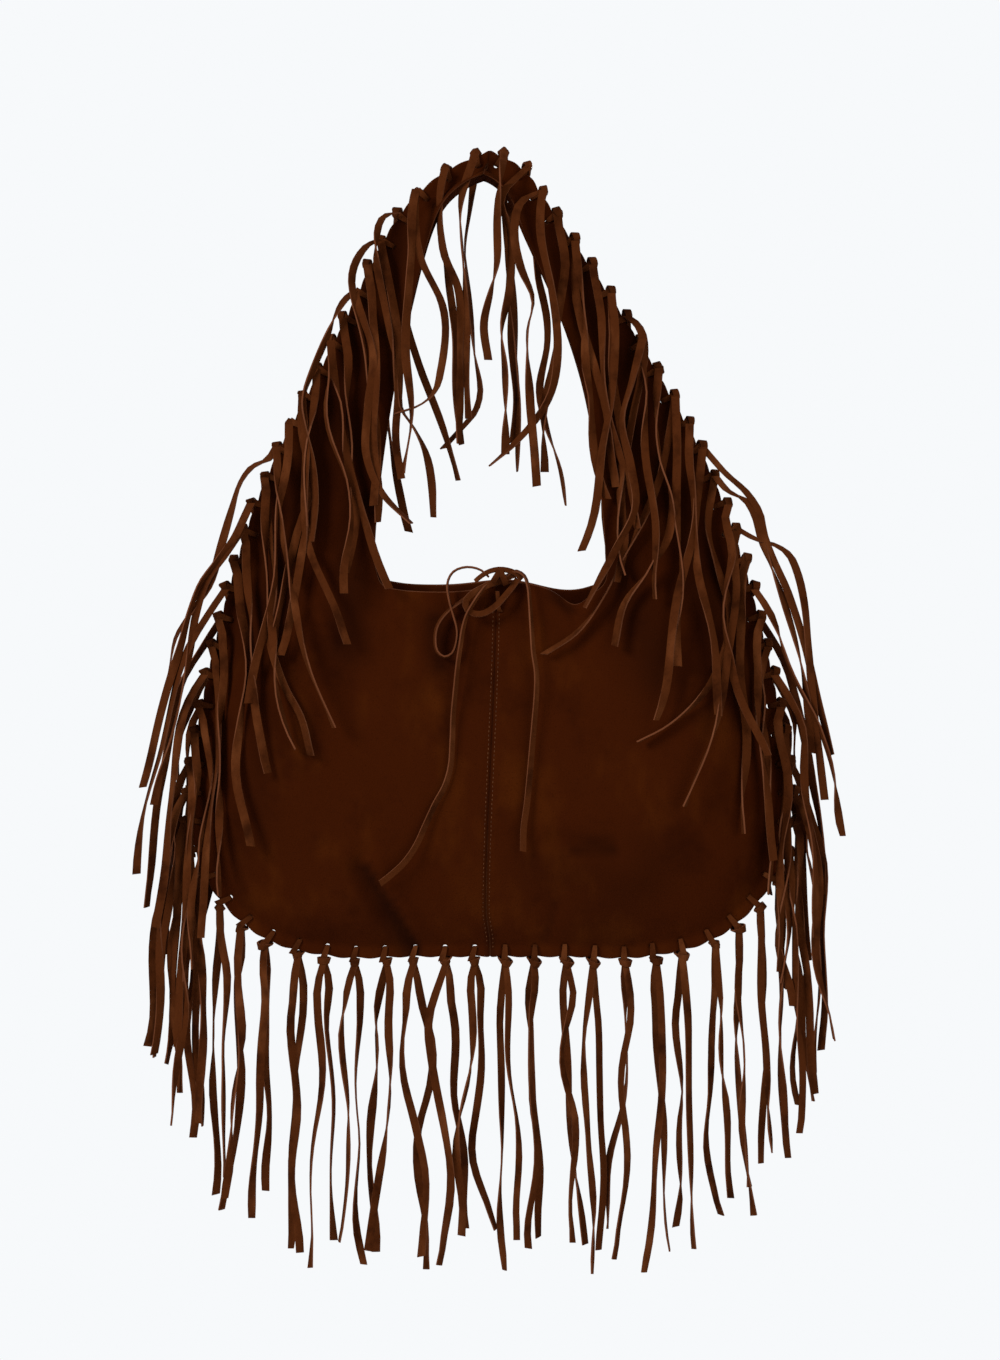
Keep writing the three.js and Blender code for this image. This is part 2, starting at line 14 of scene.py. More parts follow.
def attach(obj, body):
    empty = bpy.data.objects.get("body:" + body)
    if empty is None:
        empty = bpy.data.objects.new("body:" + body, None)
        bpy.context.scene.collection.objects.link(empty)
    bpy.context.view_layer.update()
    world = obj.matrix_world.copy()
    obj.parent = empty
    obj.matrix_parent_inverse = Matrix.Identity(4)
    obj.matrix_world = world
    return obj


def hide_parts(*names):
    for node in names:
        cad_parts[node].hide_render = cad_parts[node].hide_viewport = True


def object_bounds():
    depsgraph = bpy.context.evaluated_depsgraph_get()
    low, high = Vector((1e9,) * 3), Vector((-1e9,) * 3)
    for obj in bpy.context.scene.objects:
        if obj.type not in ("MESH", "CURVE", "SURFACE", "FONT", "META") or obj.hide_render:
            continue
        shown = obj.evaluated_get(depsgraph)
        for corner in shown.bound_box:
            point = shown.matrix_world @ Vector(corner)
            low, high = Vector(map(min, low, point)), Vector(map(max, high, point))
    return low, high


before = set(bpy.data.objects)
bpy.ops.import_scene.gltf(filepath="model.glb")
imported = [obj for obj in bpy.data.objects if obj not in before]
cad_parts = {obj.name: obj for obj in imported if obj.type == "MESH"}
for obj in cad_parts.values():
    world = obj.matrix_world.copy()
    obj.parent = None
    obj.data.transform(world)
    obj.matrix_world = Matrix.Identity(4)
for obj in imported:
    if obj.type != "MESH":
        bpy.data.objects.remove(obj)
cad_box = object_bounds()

log = logging.getLogger("bag")

MM = 0.001

Colour = tuple[int, int, int]
Place = tuple[float, float, float]
Route = tuple[Place, ...]


class Ply(Enum):
    """One of the two layers of suede, by the side of the laced edge it stands on."""

    FRONT = -1
    BACK = 1


class Side(Enum):
    """One half of the bag, as seen from the front."""

    LEFT = -1
    RIGHT = 1


class Salt(IntEnum):
    """What tells the small differences of one kind from those of another."""

    TAIL = 5
    WRAP_LEAN = 9
    WRAP_START = 19
    SWING = 21
    RING_LEAN = 29
    DRIFT = 31
    TUCK = 39
    KNOT_OUT = 61
    KNOT_ALONG = 67
    FIRST_TURN = 71
    BESIDE = 77
    KNOT_SIZE = 83
    WIDTH = 91
    CUT = 94


def smooth_step(low: float, high: float, value: float) -> float:
    """Rises smoothly from 0 at low to 1 at high.

    Args:
        low: where the rise starts.
        high: where the rise ends.
        value: the place on it.

    Returns:
        A share from 0 to 1.
    """
    share = min(1.0, max(0.0, (value - low) / (high - low)))
    return share * share * (3 - 2 * share)


def vary(index: int, salt: int) -> float:
    """A repeatable number for the small differences between like pieces.

    Args:
        index: the piece's place in its row.
        salt: tells one difference from another.

    Returns:
        A number from -1 to 1.
    """
    wave = math.sin(index * 12.9898 + salt * 78.233) * 43758.5453
    return 2 * (wave - math.floor(wave)) - 1


def wander(seed: float, place: float) -> float:
    """A smooth random course, mostly between -1 and 1, that starts anew with each seed."""
    return 1.9 * noise.noise(Vector((seed * 7.31, place + 0.5, seed * 0.37)))


class SmoothCurve:
    """A centripetal curve through points seen from the front, read by its length."""

    LEAST_CHORD = 1e-9
    PROBE = 1e-4

    def __init__(self, points: list[tuple[float, ...]], steps: int = 600) -> None:
        """Takes the points, each with the same number of coordinates, and measures the curve.

        Args:
            points: what the curve goes through.
            steps: how many chords its length is measured with.
        """
        self.points = [Vector(p) for p in points]
        self.steps = steps
        chords = [self.at_parameter(k / steps) for k in range(steps + 1)]
        self.lengths = [0.0]
        for near, far in zip(chords, chords[1:]):
            self.lengths.append(self.lengths[-1] + (far - near).length)
        self.length = self.lengths[-1]

    def at_parameter(self, parameter: float) -> Vector:
        """The point at a parameter from 0 to 1, with equal parts between the given points.

        Args:
            parameter: the place on the curve, by the number of its points.

        Returns:
            The point.
        """
        place = (len(self.points) - 1) * parameter
        index = min(int(place), len(self.points) - 2)
        weight = place - index
        p1, p2 = self.points[index], self.points[index + 1]
        p0 = self.points[index - 1] if index > 0 else 2 * p1 - p2
        last = index + 2 >= len(self.points)
        p3 = 2 * p2 - p1 if last else self.points[index + 2]
        spans = ((p0, p1), (p1, p2), (p2, p3))
        d0, d1, d2 = (math.sqrt(max((b - a).length, self.LEAST_CHORD)) for a, b in spans)
        start = ((p1 - p0) / d0 - (p2 - p0) / (d0 + d1) + (p2 - p1) / d1) * d1
        end = ((p2 - p1) / d1 - (p3 - p1) / (d1 + d2) + (p3 - p2) / d2) * d1
        square = -3 * p1 + 3 * p2 - 2 * start - end
        cube = 2 * p1 - 2 * p2 + start + end
        return p1 + start * weight + square * weight**2 + cube * weight**3

    def parameter_at(self, share: float) -> float:
        """The parameter at a share of the curve's length.

        Args:
            share: from 0 to 1.

        Returns:
            The parameter, from 0 to 1.
        """
        target = share * self.length
        low, high = 0, self.steps
        while high - low > 1:
            middle = (low + high) // 2
            if self.lengths[middle] <= target:
                low = middle
            else:
                high = middle
        span = self.lengths[high] - self.lengths[low]
        return (low + (target - self.lengths[low]) / span) / self.steps

    def at(self, share: float) -> Vector:
        """The point at a share of the curve's length."""
        return self.at_parameter(self.parameter_at(share))

    def direction_at(self, share: float) -> Vector:
        """The direction along the curve at a share of its length.

        Args:
            share: from 0 to 1.

        Returns:
            A unit vector.
        """
        middle = self.parameter_at(share)
        low, high = max(0.0, middle - self.PROBE), min(1.0, middle + self.PROBE)
        return (self.at_parameter(high) - self.at_parameter(low)).normalized()


@dataclass(frozen=True)
class Fold:
    """A soft crease of a face, or a streak of painted shade on it, between two places seen from the front.
    """

    start: tuple[float, float]
    end: tuple[float, float]
    width: float
    depth: float
    left_width: float | None = None

    def at(self, x: float, z: float) -> float:
        """How far the crease moves the face outwards at a place, or how much painted shade it lays there.

        Args:
            x: the place's x.
            z: its height.

        Returns:
            The distance, or the share of painted shade.
        """
        start, end, place = Vector(self.start), Vector(self.end), Vector((x, z))
        along = end - start
        share = min(1.0, max(0.0, (place - start).dot(along) / along.length_squared))
        away = place - start - along * share
        on_left = along.x * away.y > along.y * away.x
        width = self.left_width if self.left_width and on_left else self.width
        return self.depth * math.exp(-((away.length / width) ** 2))


@dataclass(frozen=True)
class RimBend:
    """A rise or sag of the open rim at the mouth."""

    middle: float
    width: float
    rise: float

    def rise_at(self, x: float) -> float:
        """How far the rim is moved upwards at a place along the mouth."""
        return self.rise * math.exp(-(((x - self.middle) / self.width) ** 2))


@dataclass(frozen=True)
class BagShape:
    """The outline of the body and strap and the bulge of the plies, in one half."""

    body_width: float = 0.372
    body_height: float = 0.228
    corner_radius: float = 0.090
    strap_drop: float = 0.264
    shoulder_width: float = 0.300
    shoulder_drop: float = 0.226
    strap_bow: float = 0.008
    crown_rise: float = 0.008
    crown_width: float = 0.060
    crown_turn: float = 0.010
    crown_ply_height: float = 0.017
    crown_skew: float = 0.008
    crown_skew_depth: float = 0.045
    mouth_width: float = 0.142
    mouth_corner: float = 0.014
    mouth_step: float = 0.005
    hole_width: float = 0.062
    hole_turn: float = 0.050
    arch_width: float = 0.038
    arch_drop: float = 0.0225
    ply_thickness: float = 0.0015
    first_depth: float = 0.00105
    seam_gap: float = 0.0003
    belly_depth: float = 0.023
    mouth_depth: float = 0.008
    mouth_corner_depth: float = 0.004
    strap_depth: float = 0.005
    crown_depth: float = 0.013
    seam_allowance: float = 0.012
    flat_edge: float = 0.009
    rim_even: float = 0.5
    rim_power: float = 3.5
    belly_end: tuple[float, float] = (0.36, 0.64)
    belly_skew: float = 0.72
    body_end: tuple[float, float] = (0.30, 0.55)
    corner_share: float = 0.36
    corner_spread: float = 0.12
    crown_start: float = 0.84
    curves: dict = field(default_factory=dict, compare=False)

    @property
    def bottom(self) -> float:
        """The height of the bottom edge."""
        return -(self.strap_drop + self.body_height)

    def outer(self) -> SmoothCurve:
        """Half of the laced outer edge, from the middle of the bottom up to the crown.

        Returns:
            The curve, made once.
        """
        if "outer" not in self.curves:
            half = self.body_width / 2
            flat = half - self.corner_radius
            corner = []
            for degrees in (0, 30, 60, 90):
                turn = math.radians(degrees)
                across = flat + self.corner_radius * math.sin(turn)
                corner.append((across, self.bottom + self.corner_radius * (1 - math.cos(turn))))
            bow = (self.shoulder_width + self.crown_width) / 4 + self.strap_bow
            self.curves["outer"] = SmoothCurve(
                [
                    (0.0, self.bottom),
                    (flat / 2, self.bottom),
                    *corner,
                    (self.shoulder_width / 2, -self.shoulder_drop),
                    (bow, -(self.shoulder_drop + self.crown_turn) / 2),
                    (self.crown_width / 2, -self.crown_turn),
                    (0.0, self.crown_rise),
                ]
            )
        return self.curves["outer"]

    def inner(self, ply: Ply) -> SmoothCurve:
        """Half of the open inner edge: along the mouth and up the inside of the strap.

        Args:
            ply: the layer of suede.

        Returns:
            The curve, made once for each layer.
        """
        if ply not in self.curves:
            drop = self.strap_drop + (self.mouth_step if ply is Ply.FRONT else 0.0)
            half = self.mouth_width / 2
            bow = (self.mouth_width + self.hole_width) / 4 + self.strap_bow
            self.curves[ply] = SmoothCurve(
                [
                    (0.0, -drop),
                    (half - self.mouth_corner, -drop + self.mouth_corner / 10),
                    (half - self.mouth_corner / 4, -drop + self.mouth_corner / 3),
                    (half, -drop + self.mouth_corner),
                    (bow, -(self.strap_drop + self.hole_turn) / 2 + self.mouth_corner),
                    (self.hole_width / 2, -self.hole_turn),
                    (self.arch_width / 2, -self.arch_drop),
                    (self.arch_width / 5, self.crown_rise - self.crown_ply_height - self.arch_drop / 7),
                    (0.0, self.crown_rise - self.crown_ply_height),
                ]
            )
        return self.curves[ply]

    def rung(self, share: float, ply: Ply) -> tuple[Vector, Vector, Vector, float]:
        """A line in from the laced edge, square to it across the seam allowance.

        Args:
            share: the place along the outer edge, from the bottom to the crown.
            ply: the layer of suede.

        Returns:
            Its points at the edge, at the seam allowance and at the open rim, and its length.
        """
        edge = self.outer().at(share)
        tangent = self.outer().direction_at(share)
        inward = Vector((-tangent.y, tangent.x))
        if share in (0.0, 1.0):
            inward = Vector((0.0, math.copysign(1.0, inward.y)))
        allowance = edge + inward * self.seam_allowance
        along = self.rim_even * share + (1 - self.rim_even) * share**self.rim_power
        rim = self.inner(ply).at(along)
        return edge, allowance, rim, self.seam_allowance + (rim - allowance).length

    def stand_out(self, share: float, inset: float, length: float) -> float:
        """How far the middle of a ply stands out from the plane of the laced edge.

        Args:
            share: the place along the outer edge, from the bottom to the crown.
            inset: how far in from the edge the place is.
            length: how far in the open rim is there.

        Returns:
            The distance.
        """
        across = max(0.0, (inset - self.flat_edge) / (length - self.flat_edge))
        belly = self.belly_depth * (1 - smooth_step(*self.belly_end, share))
        body = 1 - smooth_step(*self.body_end, share)
        near_corner = math.exp(-(((share - self.corner_share) / self.corner_spread) ** 2))
        rim = (
            self.strap_depth
            + (self.mouth_depth - self.strap_depth) * body
            + self.mouth_corner_depth * near_corner
            + (self.crown_depth - self.strap_depth) * smooth_step(self.crown_start, 1, share)
        )
        bulge = belly * math.sin(math.pi * across**self.belly_skew)
        return self.first_depth + bulge + rim * smooth_step(0, 1, across)

    def point(self, share: float, inset: float, ply: Ply) -> Vector:
        """A point of the middle of a ply, with y as its distance from the plane of the edge.

        Args:
            share: the place along the outer edge, from the bottom to the crown.
            inset: how far in from the edge the point is.
            ply: the layer of suede.

        Returns:
            The point, of the right half.
        """
        edge, allowance, rim, length = self.rung(share, ply)
        if inset <= self.seam_allowance:
            flat = edge.lerp(allowance, inset / self.seam_allowance)
        else:
            flat = allowance.lerp(rim, (inset - self.seam_allowance) / (length - self.seam_allowance))
        return Vector((flat.x, self.stand_out(share, inset, length), flat.y))

    def skew(self, height: float) -> float:
        """How far the strap leans to the left just under its crown."""
        depth = max(0.0, self.crown_rise - height) / self.crown_skew_depth
        return -self.crown_skew * depth**2 * math.exp(2 - 2 * depth)

    def placed(self, point: Vector, side: Side) -> Vector:
        """A point of the right half set in place on either side of the bag."""
        x = side.value * (point.x + self.seam_gap / 2) + self.skew(point.z)
        return Vector((x, point.y, point.z))


def new_piece(name: str, mesh: bmesh.types.BMesh, materials: list[bpy.types.Material]) -> bpy.types.Object:
    """Turns a finished mesh into a piece that rides with the bag.

    Args:
        name: the piece's name.
        mesh: its shape, in place; it is freed.
        materials: its finishes, by the material index of its faces.

    Returns:
        The new object.
    """
    data = bpy.data.meshes.new(name)
    mesh.to_mesh(data)
    mesh.free()
    for material in materials:
        data.materials.append(material)
    data.polygons.foreach_set("use_smooth", [True] * len(data.polygons))
    piece = bpy.data.objects.new(name, data)
    bpy.context.scene.collection.objects.link(piece)
    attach(piece, "root")
    return piece


def srgb(red: int, green: int, blue: int) -> tuple[float, float, float, float]:
    """A colour given as it looks on screen, 0 to 255, as the shaders take it.

    Args:
        red: its red.
        green: its green.
        blue: its blue.

    Returns:
        Its linear red, green and blue, and 1.
    """
    linear = []
    for value in (red, green, blue):
        part = value / 255
        linear.append(part / 12.92 if part <= 0.04045 else ((part + 0.055) / 1.055) ** 2.4)
    return (linear[0], linear[1], linear[2], 1.0)


def set_inputs(node: bpy.types.Node, values: dict[str, object]) -> None:
    """Sets a node's inputs by their names."""
    for label, value in values.items():
        node.inputs[label].default_value = value


class NapEffect:
    """The shader group for suede nap: soft brushed patches of shade, a short fibrous pile, and painted
    shade laid on by a mask.
    """

    NAME = "suede_nap"
    INPUTS = {
        "NodeSocketVector": ("Vector",),
        "NodeSocketColor": ("Base", "Brushed", "Shaded", "Deep"),
        "NodeSocketFloat": ("Patch Scale", "Pile Scale", "Patchiness", "Pressed"),
    }

    def __init__(self) -> None:
        """Builds the group: a vector, colours, scales and a mask of painted shade go in, a colour and a
        height come out.
        """
        self.tree = bpy.data.node_groups.new(self.NAME, "ShaderNodeTree")
        for kind, labels in self.INPUTS.items():
            for label in labels:
                self.tree.interface.new_socket(label, in_out="INPUT", socket_type=kind)
        self.tree.interface.new_socket("Colour", in_out="OUTPUT", socket_type="NodeSocketColor")
        self.tree.interface.new_socket("Height", in_out="OUTPUT", socket_type="NodeSocketFloat")
        self.given = self.tree.nodes.new("NodeGroupInput").outputs
        result = self.tree.nodes.new("NodeGroupOutput")
        patches = self._noise("Patch Scale", detail=4.0, roughness=0.62)
        strokes = self._noise("Patch Scale", detail=3.0, roughness=0.6, stretch=(1.1, 1.1, 0.6))
        pile = self._noise("Pile Scale", detail=3.0, roughness=0.7)
        low = self._patchy(self._range(patches, low=0.46, high=0.74))
        high = self._patchy(self._range(strokes, low=0.48, high=0.76))
        shade = self._mix(self.given["Base"], self.given["Shaded"], low)
        lit = self._mix(shade, self.given["Brushed"], high)
        fibre = self._mix(lit, self.given["Shaded"], self._range(pile, low=0.52, high=0.80, top=0.6))
        # Painted shade: the darkest tone is mixed in as far as the mask of painted shade asks.
        deep = self._mix(fibre, self.given["Deep"], self.given["Pressed"])
        self.tree.links.new(deep, result.inputs["Colour"])
        self.tree.links.new(pile, result.inputs["Height"])

    @classmethod
    def group(cls) -> bpy.types.NodeTree:
        """The group, built when it is first asked for."""
        return bpy.data.node_groups.get(cls.NAME) or cls().tree

    def _noise(
        self, scale: str, detail: float, roughness: float, stretch: Place = (1.0, 1.0, 1.0)
    ) -> bpy.types.NodeSocket:
        """A noise on the given vector.

        Args:
            scale: the input that sets the noise's scale.
            detail: octaves of the noise.
            roughness: how strong its fine octaves are.
            stretch: scale of the pattern along each axis.

        Returns:
            The socket of its value.
        """
        mapping = self.tree.nodes.new("ShaderNodeMapping")
        set_inputs(mapping, {"Scale": stretch})
        texture = self.tree.nodes.new("ShaderNodeTexNoise")
        set_inputs(texture, {"Detail": detail, "Roughness": roughness})
        self.tree.links.new(self.given["Vector"], mapping.inputs["Vector"])
        self.tree.links.new(mapping.outputs["Vector"], texture.inputs["Vector"])
        self.tree.links.new(self.given[scale], texture.inputs["Scale"])
        return texture.outputs["Fac"]

    def _range(
        self, value: bpy.types.NodeSocket, low: float, high: float, top: float = 1.0
    ) -> bpy.types.NodeSocket:
        """Spreads a value between low and high over 0 to top, smoothly.

        Args:
            value: the socket of the value.
            low: what becomes 0.
            high: what becomes the top.
            top: the highest result.

        Returns:
            The socket of the result.
        """
        node = self.tree.nodes.new("ShaderNodeMapRange")
        node.interpolation_type = "SMOOTHSTEP"
        set_inputs(node, {"From Min": low, "From Max": high, "To Max": top})
        self.tree.links.new(value, node.inputs["Value"])
        return node.outputs["Result"]

    def _patchy(self, value: bpy.types.NodeSocket) -> bpy.types.NodeSocket:
        """Scales a mask by the given patchiness.

        Args:
            value: the socket of the mask.

        Returns:
            The socket of the result.
        """
        node = self.tree.nodes.new("ShaderNodeMath")
        node.operation = "MULTIPLY"
        self.tree.links.new(value, node.inputs[0])
        self.tree.links.new(self.given["Patchiness"], node.inputs[1])
        return node.outputs["Value"]

    def _mix(
        self, first: bpy.types.NodeSocket, second: bpy.types.NodeSocket, factor: bpy.types.NodeSocket
    ) -> bpy.types.NodeSocket:
        """Mixes two colours by a factor; a mix node's colours are its inputs 6 and 7 and its output 2.

        Args:
            first: the socket of the colour at 0.
            second: the socket of the colour at 1.
            factor: the socket of the factor.

        Returns:
            The socket of the mixed colour.
        """
        node = self.tree.nodes.new("ShaderNodeMix")
        node.data_type = "RGBA"
        self.tree.links.new(factor, node.inputs["Factor"])
        self.tree.links.new(first, node.inputs[6])
        self.tree.links.new(second, node.inputs[7])
        return node.outputs[2]


@dataclass(frozen=True)
class SuedeFinish:
    """Napped suede: dull, with brushed patches and a fibrous pile, and, if asked, painted shade from the
    mesh's mask.
    """

    name: str
    base: Colour
    brushed: Colour
    shaded: Colour
    # The tone of the painted shade in creases and under the laces.
    deep: Colour = (20, 5, 1)
    patch_scale: float = 26.0
    pile_scale: float = 900.0
    patchiness: float = 0.55
    # Whether the colour takes painted shade from the mesh's mask.
    pressed: bool = False
    roughness: float = 0.95
    specular: float = 0.02
    bump: float = 0.35
    pile_height: float = 0.0006
    sheen: float = 0.06
    sheen_roughness: float = 0.45
    sheen_tint: Colour = (150, 76, 30)

    def material(self) -> bpy.types.Material:
        """Builds the material.

        Returns:
            The new material.
        """
        material = bpy.data.materials.new(self.name)
        material.use_nodes = True
        nodes, links = material.node_tree.nodes, material.node_tree.links
        shader = nodes["Principled BSDF"]
        set_inputs(
            shader,
            {
                "Roughness": self.roughness,
                "Specular IOR Level": self.specular,
                "Sheen Weight": self.sheen,
                "Sheen Roughness": self.sheen_roughness,
                "Sheen Tint": srgb(*self.sheen_tint),
            },
        )
        nap = nodes.new("ShaderNodeGroup")
        nap.node_tree = NapEffect.group()
        set_inputs(
            nap,
            {
                "Base": srgb(*self.base),
                "Brushed": srgb(*self.brushed),
                "Shaded": srgb(*self.shaded),
                "Deep": srgb(*self.deep),
                "Patch Scale": self.patch_scale,
                "Pile Scale": self.pile_scale,
                "Patchiness": self.patchiness,
            },
        )
        bump = nodes.new("ShaderNodeBump")
        set_inputs(bump, {"Strength": self.bump, "Distance": self.pile_height})
        place = nodes.new("ShaderNodeTexCoord")
        links.new(place.outputs["Object"], nap.inputs["Vector"])
        links.new(nap.outputs["Colour"], shader.inputs["Base Color"])
        # Painted shade: the mesh's mask darkens the colour where shade and shadows fall.
        if self.pressed:
            mask = nodes.new("ShaderNodeAttribute")
            mask.attribute_name = "pressed"
            links.new(mask.outputs["Fac"], nap.inputs["Pressed"])
        links.new(nap.outputs["Height"], bump.inputs["Height"])
        links.new(bump.outputs["Normal"], shader.inputs["Normal"])
        return material


@dataclass(frozen=True)
class ThreadFinish:
    """Matt sewing thread with a slight twist of shade along it."""

    name: str = "seam_thread"
    light: Colour = (98, 56, 24)
    dark: Colour = (62, 30, 10)
    roughness: float = 0.7
    specular: float = 0.2
    twist_scale: float = 700.0
    twist_range: tuple[float, float] = (0.35, 0.65)

    def material(self) -> bpy.types.Material:
        """Builds the material.

        Returns:
            The new material.
        """
        material = bpy.data.materials.new(self.name)
        material.use_nodes = True
        nodes, links = material.node_tree.nodes, material.node_tree.links
        shader = nodes["Principled BSDF"]
        set_inputs(shader, {"Roughness": self.roughness, "Specular IOR Level": self.specular})
        place = nodes.new("ShaderNodeTexCoord")
        wave = nodes.new("ShaderNodeTexNoise")
        set_inputs(wave, {"Scale": self.twist_scale})
        ramp = nodes.new("ShaderNodeValToRGB")
        stops = zip(ramp.color_ramp.elements, self.twist_range, (self.dark, self.light))
        for stop, position, colour in stops:
            stop.position = position
            stop.color = srgb(*colour)
        links.new(place.outputs["Object"], wave.inputs["Vector"])
        links.new(wave.outputs["Fac"], ramp.inputs["Fac"])
        links.new(ramp.outputs["Color"], shader.inputs["Base Color"])
        return material


@dataclass
class Finishes:
    """The bag's materials, each made once."""

    suede: bpy.types.Material = field(init=False)
    suede_edge: bpy.types.Material = field(init=False)
    lace: bpy.types.Material = field(init=False)
    lace_edge: bpy.types.Material = field(init=False)
    thread: bpy.types.Material = field(init=False)

    def __post_init__(self) -> None:
        """Makes the materials."""
        # The body's suede and its cut edges take painted shade from the panels' mask.
        self.suede = SuedeFinish(
            "bag_suede",
            base=(53, 18, 2),
            brushed=(72, 31, 4),
            shaded=(36, 9, 1),
            patchiness=0.58,
            pressed=True,
        ).material()
        self.suede_edge = SuedeFinish(
            "suede_cut_edge", base=(84, 45, 26), brushed=(100, 59, 38), shaded=(58, 28, 14), pressed=True
        ).material()
        self.lace = SuedeFinish(
            "lace_suede",
            base=(70, 33, 12),
            brushed=(94, 50, 24),
            shaded=(40, 15, 4),
            patch_scale=46.0,
            patchiness=0.9,
        ).material()
        self.lace_edge = SuedeFinish(
            "lace_cut_edge", base=(98, 56, 35), brushed=(116, 72, 48), shaded=(70, 36, 19)
        ).material()
        self.thread = ThreadFinish().material()


@dataclass(frozen=True)
class FaceLook:
    """What is one face's own: its creases, the shade and shadows painted on it, and the rises and sags of
    its rim.
    """

    folds: tuple[Fold, ...]
    painted_shades: tuple[Fold, ...]
    rim_bends: tuple[RimBend, ...]
    wave_place: float


FACE_LOOKS: dict[Ply, FaceLook] = {
    Ply.FRONT: FaceLook(
        folds=(
            Fold((-0.080, -0.436), (-0.049, -0.488), 0.0060, -0.0060),
            Fold((-0.069, -0.434), (-0.037, -0.484), 0.0060, 0.0046),
            Fold((-0.090, -0.430), (-0.072, -0.478), 0.0110, 0.0018),
            Fold((0.042, -0.419), (0.074, -0.423), 0.0058, -0.0046),
            Fold((0.044, -0.434), (0.090, -0.440), 0.0110, 0.0032),
            Fold((0.042, -0.456), (0.036, -0.480), 0.0040, -0.0014),
            Fold((0.034, -0.264), (0.051, -0.277), 0.0046, -0.0034),
            Fold((0.068, -0.268), (0.056, -0.278), 0.0050, 0.0022),
            Fold((0.022, -0.268), (0.036, -0.300), 0.0090, 0.0014),
            Fold((-0.070, -0.255), (-0.082, -0.330), 0.0140, -0.0026),
            Fold((0.074, -0.255), (0.086, -0.322), 0.0130, -0.0026),
            Fold((-0.110, -0.330), (-0.120, -0.400), 0.0180, 0.0018),
            Fold((0.118, -0.345), (0.104, -0.418), 0.0180, 0.0018),
            Fold((-0.058, -0.150), (-0.092, -0.235), 0.0080, -0.0016),
            Fold((0.060, -0.140), (0.094, -0.228), 0.0080, -0.0016),
        ),
        # Painted shade: dark streaks in the creases, and the shadows of the tie's loop and of the laces
        # over the strap.
        painted_shades=(
            Fold((-0.0755, -0.436), (-0.0600, -0.462), 0.0080, 0.70, left_width=0.0024),
            Fold((-0.0610, -0.460), (-0.0450, -0.486), 0.0120, 0.80, left_width=0.0024),
            Fold((0.036, -0.4310), (0.054, -0.4255), 0.0075, 0.32),
            Fold((0.052, -0.4245), (0.064, -0.4225), 0.0056, 0.52),
            Fold((0.062, -0.4220), (0.075, -0.4235), 0.0048, 0.62),
            Fold((0.028, -0.436), (0.072, -0.432), 0.0150, 0.24),
            Fold((0.041, -0.455), (0.034, -0.481), 0.0026, 0.35),
            Fold((-0.034, -0.284), (-0.031, -0.312), 0.0070, 0.55),
            Fold((-0.080, -0.180), (-0.088, -0.300), 0.0130, 0.50),
            Fold((0.080, -0.250), (0.104, -0.316), 0.0180, 0.50),
            Fold((0.062, -0.050), (0.118, -0.215), 0.0260, 0.50),
            Fold((-0.062, -0.050), (-0.118, -0.215), 0.0260, 0.50),
            Fold((0.122, -0.225), (0.150, -0.320), 0.0240, 0.45),
            Fold((-0.122, -0.225), (-0.146, -0.300), 0.0220, 0.40),
            Fold((0.037, -0.267), (0.050, -0.276), 0.0034, 0.60),
            Fold((0.100, -0.430), (0.070, -0.474), 0.0220, 0.25),
            Fold((-0.140, -0.330), (-0.150, -0.420), 0.0200, 0.25),
        ),
        rim_bends=(RimBend(0.0, 0.5, 0.003), RimBend(0.012, 0.022, 0.006), RimBend(0.0505, 0.011, -0.0085)),
        wave_place=3.1,
    ),
    Ply.BACK: FaceLook(
        folds=(
            Fold((-0.050, -0.300), (-0.070, -0.380), 0.0150, 0.0020),
            Fold((0.040, -0.410), (0.060, -0.470), 0.0090, -0.0026),
            Fold((0.080, -0.330), (0.096, -0.400), 0.0160, 0.0018),
            Fold((-0.100, -0.420), (-0.070, -0.470), 0.0090, -0.0022),
            Fold((-0.070, -0.255), (-0.082, -0.330), 0.0140, -0.0022),
            Fold((0.074, -0.255), (0.086, -0.322), 0.0130, -0.0022),
        ),
        # Painted shade in the back's creases and under the strap's laces.
        painted_shades=(
            Fold((0.040, -0.412), (0.060, -0.470), 0.0080, 0.50),
            Fold((-0.100, -0.424), (-0.070, -0.470), 0.0080, 0.45),
            Fold((-0.080, -0.262), (-0.098, -0.310), 0.0120, 0.45),
            Fold((0.078, -0.262), (0.100, -0.312), 0.0130, 0.45),
        ),
        rim_bends=(RimBend(0.0, 0.5, 0.003), RimBend(0.005, 0.022, 0.0035), RimBend(0.048, 0.022, -0.0035)),
        wave_place=7.7,
    ),
}


